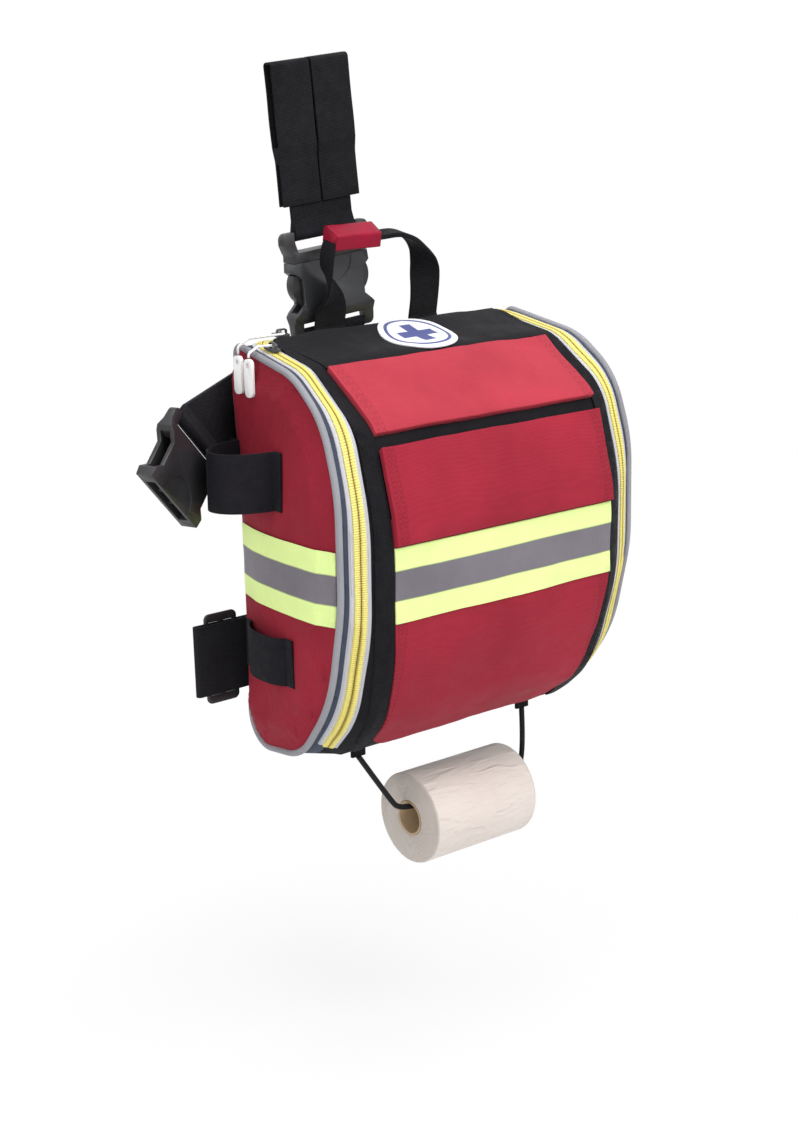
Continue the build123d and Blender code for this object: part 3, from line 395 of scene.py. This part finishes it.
def zip_teeth(name, colour, middle):
    """Coil teeth: close ribs across the chain, darker along the meeting line."""
    finish = Finish(name)
    x, y, z = bag_place(finish)
    away = from_zip(finish, x, y)
    behind = finish.absolute(finish.minus(y, REAR_ZIP))
    rear = finish.math("GREATER_THAN", y, 1 * MM)
    away = finish.plus(finish.times(behind, rear),
                       finish.times(away, finish.minus(1.0, rear)))
    turn = finish.math("ARCTAN2", z, finish.times(y, -1.0))
    pitch = finish.plus(finish.times(turn, 0.13), finish.times(x, rear))
    teeth = finish.span(finish.waves(pitch, 1.7 * MM), -1, 1)
    tone = finish.mix(finish.times(teeth, 0.25), colour, shade(colour, 0.62))
    tone = finish.mix(finish.span(away, 1.5 * MM, 0.5 * MM), tone, middle)
    finish.relief(teeth, 0.5 * MM, 0.8)
    return finish.coat(tone, 0.42, specular=0.4)


def badge_print():
    """Round woven badge: a blue rim and a blue plus on white."""
    finish = Finish("badge_print")
    low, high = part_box("badge")
    x, y, _ = place_from(finish, [(a + b) / 2 for a, b in zip(low, high)])
    radius = (high[0] - low[0]) / 2
    u, v = finish.math("DIVIDE", x, radius), finish.math("DIVIDE", y, radius)
    away = finish.hypot(u, v)
    rim = finish.near(away, 0.80, 0.045, 0.2)
    # the plus: two bars with soft edges
    across, up = finish.absolute(u), finish.absolute(v)
    arm_x = finish.times(finish.span(across, 0.56, 0.52), finish.span(up, 0.19, 0.16))
    arm_y = finish.times(finish.span(up, 0.56, 0.52), finish.span(across, 0.19, 0.16))
    line = finish.math("MAXIMUM", arm_x, arm_y)
    weave = finish.weave(0.8 * MM)
    ink = finish.math("MAXIMUM", rim, line)
    tone = finish.mix(finish.times(weave, 0.12), (0.86, 0.87, 0.88), (0.6, 0.62, 0.65))
    tone = finish.mix(ink, tone, (0.06, 0.075, 0.24))
    finish.relief(finish.plus(weave, finish.times(ink, 2.0)), 0.15 * MM, 0.6)
    return finish.coat(tone, 0.55, 0.1)


def gauze_roll():
    """White cloth tape: wound layers on the ends, fine weave and wrinkles on the outside."""
    finish = Finish("tape_white")
    low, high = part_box("tape_roll")
    x, y, z = place_from(finish, Vector([(a + b) / 2 for a, b in zip(low, high)]))
    away = finish.hypot(y, z)
    angle = finish.math("DIVIDE", finish.math("ARCTAN2", z, y), 2 * math.pi)
    wander = finish.times(finish.clouds(30, 2), 0.5 * MM)
    wound = finish.plus(finish.plus(away, wander), finish.times(angle, 0.9 * MM))
    layers = finish.span(finish.waves(wound, 0.9 * MM), -1, 1)
    face = finish.math("GREATER_THAN", finish.absolute(x), (high[0] - low[0]) / 2 - 0.9 * MM)
    # Cream tape tinted pink with painted reflection of the red bag, pinker and darker in random patches
    cream_and_red_reflection = finish.mix(finish.clouds(18, 3), (0.80, 0.735, 0.685), (0.68, 0.59, 0.545))
    tone = finish.mix(finish.times(finish.times(layers, face), 0.45), cream_and_red_reflection, (0.46, 0.41, 0.34))
    weave = finish.weave(1.0 * MM)
    tone = finish.mix(finish.times(weave, 0.12), tone, (0.5, 0.46, 0.38))
    height = finish.plus(finish.times(layers, face), finish.times(weave, 0.4))
    film = finish.clouds(1, 2, finish.vector("MULTIPLY", finish.place, (24, 70, 70)))
    crease = finish.near(film, 0.5, 0.035, 0.9)
    wrinkles = finish.plus(finish.times(film, 6.0), finish.times(crease, 1.1))
    height = finish.plus(height, finish.times(wrinkles, finish.minus(1.0, face)))
    finish.relief(height, 0.45 * MM, 0.9)
    return finish.coat(tone, finish.span(film, 0.35, 0.65, 0.35, 0.75), 0.1, specular=0.4)


def braided():
    """Round braid of an elastic cord: two sets of threads that cross."""
    finish = Finish("black_cord")
    along = finish.ribs((1, 0.3, 1), 1.6 * MM)
    cross = finish.ribs((1, 0.3, -1), 1.6 * MM)
    plait = finish.span(finish.times(along, cross), -1, 1)
    tone = finish.mix(plait, (0.006, 0.006, 0.007), (0.017, 0.017, 0.019))
    finish.relief(plait, 0.3 * MM, 0.8)
    return finish.coat(tone, 0.65, 0.03, specular=0.15)


def card():
    finish = Finish("core_card")
    fibres = finish.clouds(260, 4)
    tone = finish.mix(fibres, (0.52, 0.38, 0.23), (0.36, 0.25, 0.15))
    finish.relief(fibres, 0.15 * MM, 0.5)
    return finish.coat(tone, 0.85)


up_hanger = (math.sin(-LEAN), 0, math.cos(LEAN))
flap_seams = (RED_HALF - 3.5 * MM, RED_HALF - 7.5 * MM)
FINISHES = {
    "black_nylon": nylon("black_nylon", BLACK),
    # The front panels wear the red fabric 1.12 times lighter than the sides: painted light
    "red_nylon": nylon("red_nylon", shade(DEEP_RED, 1.12), seams=flap_seams),
    "side_red": nylon("side_red", DEEP_RED),
    # Upper pad: the red fabric with painted light
    "bright_red_nylon": nylon("bright_red_nylon", UPPER_RED_PAINTED_LIGHT, seams=flap_seams),
    # Gusset: dark navy, painted shade of the crease between the piping and the zip
    "navy_nylon": nylon("navy_nylon", (0.060, 0.072, 0.105)),
    "grey_lining": nylon("grey_lining", (0.16, 0.165, 0.18)),
    "black_webbing": strap("black_webbing", BLACK, (0, 0.2, 1)),
    "hanger_webbing": strap("hanger_webbing", BLACK, up_hanger),
    # The level leg straps wear the black webbing 1.5 times lighter: painted light where they lie in shade
    "webbing_across_painted_light": strap("webbing_across_painted_light", shade(BLACK, 1.5), (1, 0, 0)),
    "red_webbing": moulded("red_webbing", (0.215, 0.002, 0.019), 0.42, 500, 0.2),
    "back_mesh": air_mesh("back_mesh", shade(BLACK, 1.9)),
    "black_elastic": strap("black_elastic", (0.0105, 0.0095, 0.013), (0, 0, 1), 1.0 * MM),
    "silver_piping": nylon("silver_piping", SILVER, 0.9 * MM, 0.0),
    "hi_vis_tape": reflective_tape(),
    "zip_tape": zip_tape("zip_tape", (0.60, 0.60, 0.62), (0.48, 0.48, 0.53)),
    "white_cord": strap("white_cord", WHITE, (0, 0, 1), 0.9 * MM),
    "yellow_zip_teeth": zip_teeth("yellow_zip_teeth", ZIP_YELLOW, (0.50, 0.39, 0.07)),
    "black_acetal": moulded("black_acetal", (0.017, 0.016, 0.018)),
    # Female shell: dark grey plastic, made lighter than the black acetal with painted sheen
    "grey_acetal": moulded("grey_acetal", (0.028, 0.029, 0.032), 0.34),
    "white_rubber": moulded("white_rubber", (0.83, 0.83, 0.82), 0.5, 500),
    "black_zinc": moulded("black_zinc", (0.04, 0.04, 0.045), 0.3),
    "badge_print": badge_print(),
    "tape_white": gauze_roll(),
    "core_card": card(),
    "black_cord": braided(),
}


def wear(obj, finish):
    obj.data.materials.clear()
    obj.data.materials.append(FINISHES[finish])


# ------------------------------------------------------------------ pieces made from the frame's solids
def body_of_node(node):
    return next(b for b, names in frame["record"]["behaviour"]["bodies"].items() if node in names)


def hard_piece(node, finish, edge=0.35 * MM):
    """A moulded or metal node keeps its shape: its triangles are welded and its edges broken."""
    obj = NODES[node]
    weld = obj.modifiers.new("weld", "WELD")
    weld.merge_threshold = WELD
    if edge:
        rim = obj.modifiers.new("broken_edges", "BEVEL")
        rim.width = edge
        rim.segments = 2
        rim.limit_method = "ANGLE"
        rim.angle_limit = math.radians(32)
        rim.use_clamp_overlap = True
        rim.harden_normals = True
    smooth_by_angle(obj.data, 32)
    wear(obj, finish)


def smooth_by_angle(mesh, degrees):
    mesh.shade_smooth()
    mesh.set_sharp_from_angle(angle=math.radians(degrees))


def start_from(node):
    """Clean bmesh copy of a node: welded, with its flat triangles joined."""
    bm = bmesh.new()
    bm.from_mesh(NODES[node].data)
    bmesh.ops.remove_doubles(bm, verts=bm.verts, dist=WELD)
    bmesh.ops.dissolve_limit(bm, angle_limit=math.radians(0.8), verts=bm.verts, edges=bm.edges)
    return bm


def slice_up(bm, normal, step):
    """Cuts a mesh by evenly spaced planes, so that it can bend and crease between them."""
    axis = Vector(normal).normalized()
    reach = [v.co.dot(axis) for v in bm.verts]
    low, high = min(reach), max(reach)
    count = max(1, round((high - low) / step))
    for i in range(1, count):
        at = low + (high - low) * i / count
        everything = bm.verts[:] + bm.edges[:] + bm.faces[:]
        bmesh.ops.bisect_plane(bm, geom=everything, plane_co=axis * at, plane_no=axis, dist=0.00001)


def cuts(**steps):
    """Slices across the named axes in this order, by their spacing in millimetres."""
    return [(AXES[axis], step * MM) for axis, step in steps.items()]


def soft_piece(name, node, finish, steps, shape=None, rounds=0, sharp=40, bevel=0.0):
    """A sewn piece cut from its solid: sliced finely, its edges rounded, then shaped point by point."""
    bm = start_from(node)
    if bevel:
        rims = [e for e in bm.edges if len(e.link_faces) == 2 and e.calc_face_angle(0) > math.radians(40)]
        bmesh.ops.bevel(bm, geom=rims, offset=bevel, affect="EDGES", segments=2, profile=0.5, material=-1,
                        clamp_overlap=True, offset_type="OFFSET")
    for axis, step in steps:
        slice_up(bm, axis, step)
    for _ in range(rounds):
        bmesh.ops.smooth_vert(bm, verts=bm.verts, factor=0.5,
                              use_axis_x=True, use_axis_y=False, use_axis_z=False)
    if shape:
        for v in bm.verts:
            v.co += shape(v)
    bmesh.ops.triangulate(bm, faces=[f for f in bm.faces if len(f.verts) > 4])
    return in_place_of(node, bm, name, finish, sharp)


def in_place_of(node, bm, name, finish, sharp):
    """Makes an object of a bmesh, in place of a node and with its body and slot."""
    mesh = mesh_of(bm, name)
    smooth_by_angle(mesh, sharp)
    obj = add(name, mesh)
    wear(obj, finish)
    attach(obj, body_of_node(node))
    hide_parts(node)
    return obj


def outward(point):
    """Unit direction away from the bag's middle line, in the plane across it."""
    away = Vector((0, point.y - BAG.y, point.z - BAG.z))
    return away.normalized() if away.length > 1e-6 else Vector((0, -1, 0))


def ripple(point, size, depth, seed):
    """Depth of a soft wrinkle at a point; size is the distance between wrinkles."""
    place = Vector(point) / size + Vector((seed, 2 * seed, 3 * seed))
    return depth * noise.noise(place)


def turn_of(point):
    """Angle up from the front about the bag's middle line, in degrees."""
    return math.degrees(math.atan2(point.z - BAG.z, BAG.y - point.y))


def front_pad(span, crown, seed):
    """Crowned front panel between two angles, with soft wrinkles."""
    low, high = span

    def shape(v):
        across = max(-1.0, min(1.0, (v.co.x - BAG.x) / RED_HALF))
        share = max(0.0, min(1.0, (turn_of(v.co) - low) / (high - low)))
        swell = crown * (1 - across ** 4) * (1 - (2 * share - 1) ** 4)
        swell += ripple(v.co, 38 * MM, 1.6 * MM, seed) + ripple(v.co, 15 * MM, 0.55 * MM, seed + 3)
        return outward(v.co) * swell
    return shape


def rise(value, low, high):
    """0 below low, 1 above high and smooth between."""
    share = max(0.0, min(1.0, (value - low) / (high - low)))
    return share * share * (3 - 2 * share)


def longer(v):
    """The lower loop reaches further forward than its solid."""
    return Vector((0, 0.1 * (v.co.y - BAG.y), 0))


def fuller(v):
    """The tool loop stands out further than its solid."""
    out = v.co.x - BAG.x
    return Vector((0.14 * math.copysign(max(0.0, abs(out) - SIDE_HALF - 6 * MM), out), 0, 0))


def rear_lip(v):
    """Bound rear edge of the top: its upper side stands up in front of the zip."""
    if v.normal.z < 0.2:
        return Vector()
    return Vector((0, 0, 3 * MM * rise(turn_of(v.co), 78, 90)))


def roof(v):
    """Soft top of the cover, with its bound rear edge."""
    return front_pad(TOP_SPAN, 1.0 * MM, 1)(v) + rear_lip(v)


def pressed(v):
    """The teeth lie lower in the tape than their solid."""
    away = outward(v.co)
    return -0.9 * MM * away if v.normal.dot(away) > 0.5 else Vector()


def side_puff(side, depth, seed, lift=0.0):
    """Round bulge and creases of a side cushion, outwards along x; its rear edge draws in."""
    def shape(v):
        x, y, z = v.co - BAG
        out = abs(x) - SIDE_HALF + TOE_IN * y
        hold = max(0.0, min(1.0, (out - 1 * MM) / (4 * MM)))
        dome = max(0.0, 1 - ((y + 46 * MM) / (56 * MM)) ** 2) * max(0.0, 1 - (z / (130 * MM)) ** 2)
        rear = max(0.0, (y + 18 * MM) / (24 * MM)) * max(0.0, 1 - ((z + 20 * MM) / (110 * MM)) ** 2)
        corner = rise(y, -8 * MM, 10 * MM) * rise(z, 40 * MM, 120 * MM)
        corner += 0.8 * rise(y, -25 * MM, 6 * MM) * rise(-z, 70 * MM, 112 * MM)
        swell = ripple(v.co, 45 * MM, depth, seed) + ripple(v.co, 16 * MM, 0.35 * depth, seed + 5)
        swell += 4 * MM * dome - 3 * MM * rear + 5 * MM * corner
        return Vector((side * (lift + hold * swell), 0, 0))
    return shape


def quilted(v):
    """Back pad with sewn channels across it and a soft rim; the side against the leg is shaped."""
    if v.normal.y < 0.3:
        return Vector()
    x, z = v.co.x - BAG.x, v.co.z - BAG.z
    channel = max(0.0, 1 - abs((z + 22 * MM) % (44 * MM) - 22 * MM) / (8 * MM)) ** 2
    rim = rise(abs(x), BACK_HALF - 12 * MM, BACK_HALF)
    sewn = 2.2 * MM * channel * (1 - rim) + 1.5 * MM * rim
    return Vector((0, ripple(v.co, 50 * MM, 0.6 * MM, 9) - sewn, 0))


def limp(size, depth, seed, direction=None):
    """Slight unevenness of a strap or skin, along one direction or all."""
    def shape(v):
        if direction:
            return Vector(direction) * ripple(v.co, size, depth, seed)
        return Vector([ripple(v.co, size, depth, seed + k) for k in (0, 7, 13)])
    return shape


# ------------------------------------------------------------------ floor
def studio_floor(height):
    bm = bmesh.new()
    bmesh.ops.create_grid(bm, x_segments=1, y_segments=1, size=8)
    bmesh.ops.translate(bm, verts=bm.verts, vec=(0, 0, height))
    floor = add("studio_floor", mesh_of(bm, "studio_floor"))
    finish = Finish("floor_paper")
    finish.coat((0.86, 0.86, 0.86), 0.9, specular=0.1)
    glow = finish.node("ShaderNodeEmission")
    glow.inputs["Color"].default_value = (1, 1, 1, 1)
    seen = finish.node("ShaderNodeLightPath").outputs["Is Camera Ray"]
    away = finish.vector("DISTANCE", finish.place, (BAG.x + 20 * MM, BAG.y - 45 * MM, height))
    blend = finish.node("ShaderNodeMixShader")
    finish.feed(blend.inputs[0], finish.times(seen, finish.span(away, 0.08, 0.34, 0.7, 1.0)))
    finish.feed(blend.inputs[1], finish.skin.outputs[0])
    finish.feed(blend.inputs[2], glow.outputs[0])
    below = finish.node("ShaderNodeMixShader")
    finish.feed(below.inputs[0], finish.node("ShaderNodeNewGeometry").outputs["Backfacing"])
    finish.feed(below.inputs[1], blend.outputs[0])
    finish.feed(below.inputs[2], finish.node("ShaderNodeBsdfTransparent").outputs[0])
    finish.feed(finish.tree.nodes["Material Output"].inputs["Surface"], below.outputs[0])
    floor.data.materials.append(finish.material)


def studio_world():
    world = bpy.data.worlds.new("studio_world")
    world.use_nodes = True
    tree = world.node_tree
    sky = tree.nodes["Background"]
    path = tree.nodes.new("ShaderNodeLightPath")
    shown = tree.nodes.new("ShaderNodeMath")
    shown.operation = "MAXIMUM"
    tree.links.new(path.outputs["Is Camera Ray"], shown.inputs[0])
    tree.links.new(path.outputs["Is Glossy Ray"], shown.inputs[1])
    level = tree.nodes.new("ShaderNodeMapRange")
    level.inputs["To Min"].default_value = 0.55
    level.inputs["To Max"].default_value = 1.0
    tree.links.new(shown.outputs[0], level.inputs["Value"])
    sky.inputs["Color"].default_value = (1, 1, 1, 1)
    tree.links.new(level.outputs[0], sky.inputs["Strength"])
    bpy.context.scene.world = world


studio_floor(cad_bounds[0][2] - FLOOR_DROP)
studio_world()


# ------------------------------------------------------------------ elastic cord under the bag
def elastic_cord():
    """Thin elastic from one sewn tab, through the roll, to the other tab."""
    route = [(-70, -142), (-44, -180), (-34.5, -191.6), (4, -192.2), (40, -192.2), (74.5, -191.6),
             (84, -181.5), (82, -142)]
    thread = bpy.data.curves.new("elastic_cord_line", "CURVE")
    thread.dimensions = "3D"
    line = thread.splines.new("NURBS")
    line.points.add(len(route) - 1)
    for point, (x, z) in zip(line.points, route):
        place = BAG + Vector((x, CORD_Y, z)) * MM
        point.co = (*place, 1)
    line.order_u = 3
    line.use_endpoint_u = True
    line.resolution_u = 16
    thread.bevel_depth = 2 * MM
    thread.bevel_resolution = 4
    thread.use_fill_caps = True
    cord = add("elastic_cord_braid", thread)
    wear(cord, "black_cord")
    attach(cord, "cord")
    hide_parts("elastic_cord")


elastic_cord()


# ------------------------------------------------------------------ webbing
def between(stations, share):
    """Smooth blend of a list of stations, at a share from 0 to 1 of the list."""
    place = share * (len(stations) - 1)
    i = min(int(place), len(stations) - 2)
    t = place - i
    around = [stations[max(0, min(k, len(stations) - 1))] for k in range(i - 1, i + 3)]
    return [0.5 * (2 * b + (c - a) * t + (2 * a - 5 * b + 4 * c - d) * t ** 2
                   + (3 * b - a - 3 * c + d) * t ** 3)
            for a, b, c, d in zip(*around)]


def handle_strap():
    """Webbing of the carry handle, which turns from flat legs to a folded band in the grip."""
    lean = math.radians(11)
    root = BAG + Vector((0, 12, 148)) * MM
    up = Vector((0, -math.sin(lean), math.cos(lean)))
    forward = Vector((0, -math.cos(lean), -math.sin(lean)))
    axes = Vector((1, 0, 0)), up, forward
    # across, up, forward, width, thickness and turn in degrees
    stations = [
        (-40.7, -2.4, 0, 25, 2.2, 0), (-40.7, 12, 0, 25, 2.2, 0), (-44.0, 23, 2, 22, 2.2, 28),
        (-48.5, 33, 4, 17, 2.4, 60), (-51.3, 43, 5, 14, 3.0, 84), (-51.3, 53, 5, 13, 3.2, 90),
        (-47.0, 60, 4, 13, 3.2, 90), (-31.0, 61, 4, 13, 3.2, 90), (-12.0, 61, 4, 13, 3.2, 90),
        (6.0, 61.5, 4, 13, 3.2, 90), (19.5, 57, 3, 13, 3.2, 85), (29.5, 48.5, 2, 15, 2.8, 70),
        (36.5, 38, 1, 19, 2.4, 40), (40.3, 26, 0, 23, 2.2, 12), (41.7, 12, 0, 25, 2.2, 0),
        (41.7, -2.4, 0, 25, 2.2, 0),
    ]
    count = 110
    line = [between(stations, i / count) for i in range(count + 1)]
    points = [root + sum((a * v * MM for a, v in zip(axes, station)), Vector()) for station in line]
    bm = bmesh.new()
    rings = []
    for i, station in enumerate(line):
        width, thick, turn = station[3:]
        along = (points[min(i + 1, count)] - points[max(i - 1, 0)]).normalized()
        flat = forward.cross(along).normalized()
        wide = flat * math.cos(math.radians(turn)) + along.cross(flat) * math.sin(math.radians(turn))
        deep = along.cross(wide)
        half, rim = width / 2, thick / 2
        top = [(half, 0.4 * rim), (half - 0.5, rim), (0, rim * 0.94), (0.5 - half, rim), (-half, 0.4 * rim)]
        section = top + [(a, -b) for a, b in reversed(top)]
        rings.append([bm.verts.new(points[i] + (wide * a + deep * b) * MM) for a, b in section])
    skin(bm, rings)
    in_place_of("handle_webbing", bm, "handle_strap", "black_webbing", 40)


for side in ("left", "right"):
    soft_piece(f"hanger_strip_{side}_webbing", f"hanger_strip_{side}", "hanger_webbing",
               [(up_hanger, 7 * MM)], limp(30 * MM, 0.5 * MM, 2 if side == "left" else 4), bevel=0.35 * MM)
soft_piece("hanger_webbing_ply", "hanger_webbing", "hanger_webbing", [(up_hanger, 7 * MM)], bevel=0.3 * MM)
soft_piece("bag_tail_webbing", "bag_webbing_tail", "hanger_webbing", [(up_hanger, 7 * MM)], bevel=0.3 * MM)
handle_strap()
soft_piece("handle_sewn_ends", "handle_roots", "black_webbing", cuts(z=4), bevel=0.3 * MM)
soft_piece("handle_red_sleeve", "handle_grip", "red_webbing", cuts(x=4), limp(16 * MM, 0.5 * MM, 3))
soft_piece("leg_tab_webbing", "leg_strap_tab", "webbing_across_painted_light", cuts(x=6), bevel=0.3 * MM)
soft_piece("leg_upper_webbing", "leg_strap_upper", "webbing_across_painted_light", cuts(x=6), bevel=0.3 * MM)
soft_piece("leg_lower_webbing", "leg_strap_lower", "webbing_across_painted_light", cuts(x=8),
           limp(40 * MM, 0.5 * MM, 6, (0, 1, 0)), bevel=0.25 * MM)
for side in ("left", "right"):
    puff = side_puff(-1 if side == "left" else 1, 0.0, 0)
    soft_piece(f"tool_loop_{side}_elastic", f"tool_loop_{side}", "black_elastic",
               cuts(y=5, z=8), lambda v: puff(v) + fuller(v), bevel=0.3 * MM)
    soft_piece(f"lower_loop_{side}_elastic", f"lower_loop_{side}", "black_elastic",
               cuts(y=5, z=8), lambda v: puff(v) + longer(v), bevel=0.3 * MM)
    soft_piece(f"cord_tab_{side}", f"cord_anchor_{side}", "black_webbing", cuts(z=3), bevel=0.25 * MM)
for word in ("upper", "lower"):
    soft_piece(f"organiser_{word}_loops", f"organiser_elastic_{word}", "black_elastic", cuts(x=6),
               bevel=0.3 * MM)

# ------------------------------------------------------------------ bag body
back_pad = soft_piece("back_pad", "back_panel", "back_mesh", cuts(x=8, z=5), quilted)
soft_piece("floor_panel", "bottom_panel", "black_nylon", cuts(x=12, y=12))
soft_piece("rear_top_strip", "rear_strip", "black_nylon", cuts(x=10))
for side, word in ((-1, "left"), (1, "right")):
    cushion = soft_piece(f"side_cushion_{word}", f"side_panel_{word}", "side_red",
                         cuts(y=5, z=5), side_puff(side, 1.4 * MM, 20 + side), rounds=6)
    soft_piece(f"side_gusset_{word}", f"gusset_{word}", "navy_nylon", cuts(z=10))
    soft_piece(f"side_piping_{word}", f"piping_{word}", "silver_piping", cuts(z=8), sharp=60)
    soft_piece(f"side_band_{word}", f"reflective_band_{word}", "hi_vis_tape",
               cuts(y=5, z=5), side_puff(side, 1.4 * MM, 20 + side, 0.5 * MM), rounds=6)


# ------------------------------------------------------------------ cover
def hinge_cloth():
    """Cloth that joins the cover's foot to the floor of the bag, curved along the fold."""
    profile = [(-52, -131.3), (-56, -130.6), (-59.5, -129.95), (-61, -129.7), (-62.3, -129.4),
               (-63.6, -128.7), (-65.2, -127.7), (-68.5, -125.6), (-71.5, -123.7)]
    bm = bmesh.new()
    rows = []
    for i in range(25):
        x = -97.5 + 195 * i / 24
        outer = [bm.verts.new(BAG + Vector((x, y, z)) * MM) for y, z in profile]
        inner = [bm.verts.new(BAG + Vector((x, y + 0.4, z + 0.7)) * MM) for y, z in reversed(profile)]
        rows.append(outer + inner)
    skin(bm, rows)
    mesh = mesh_of(bm, "hinge_cloth")
    smooth_by_angle(mesh, 40)
    cloth = add("hinge_cloth", mesh)
    wear(cloth, "black_nylon")
    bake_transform(cloth)


hinge_cloth()
soft_piece("cover_skin", "cover_shell", "black_nylon", cuts(x=14, z=12))
soft_piece("cover_inner_lining", "cover_lining", "grey_lining", cuts(x=14, z=12))
soft_piece("top_cloth", "cover_top_panel", "black_nylon", cuts(x=8, y=3), roof)
upper_pad = soft_piece("upper_red_pad", "cover_upper_pad", "bright_red_nylon",
                       cuts(x=7, y=6), front_pad(PAD_SPAN, 1.6 * MM, 2), bevel=0.6 * MM)
soft_piece("pocket_cloth", "front_pocket", "red_nylon", cuts(x=7, z=7),
           front_pad(POCKET_SPAN, 1.2 * MM, 3))
soft_piece("pocket_flap_cloth", "pocket_flap", "red_nylon", cuts(x=7, z=6),
           front_pad(FLAP_SPAN, 1.4 * MM, 3), bevel=0.6 * MM)
soft_piece("front_band_tape", "reflective_band_front", "hi_vis_tape", cuts(x=7, z=5),
           front_pad(POCKET_SPAN, 1.2 * MM, 3))
for word in ("left", "right"):
    soft_piece(f"edge_binding_{word}", f"cover_binding_{word}", "black_webbing",
               cuts(z=8, y=6), rear_lip)
soft_piece("round_badge", "badge", "badge_print", cuts(x=6, y=3), roof, bevel=0.3 * MM)

# ------------------------------------------------------------------ zip
for word in ("body", "cover"):
    soft_piece(f"tape_of_{word}", f"zip_tape_{word}", "zip_tape", [])
    soft_piece(f"chain_of_{word}", f"zip_chain_{word}", "yellow_zip_teeth", [], pressed)
for word in ("side", "rear"):
    hard_piece(f"zip_slider_{word}", "black_zinc", 0.2 * MM)
    hard_piece(f"zip_pull_{word}", "white_rubber", 0.4 * MM)
    hard_piece(f"pull_cord_{word}", "white_cord", 0)

# ------------------------------------------------------------------ fittings and roll
for node in ("buckle_male_frame", "buckle_male_prongs", "leg_buckle_male_frame", "leg_buckle_male_prongs",
             "leg_buckle_female_shell", "tri_glide"):
    hard_piece(node, "black_acetal")
hard_piece("buckle_female_shell", "grey_acetal")
hard_piece("tape_roll", "tape_white", 1.2 * MM)
hard_piece("tape_core", "core_card", 0.3 * MM)
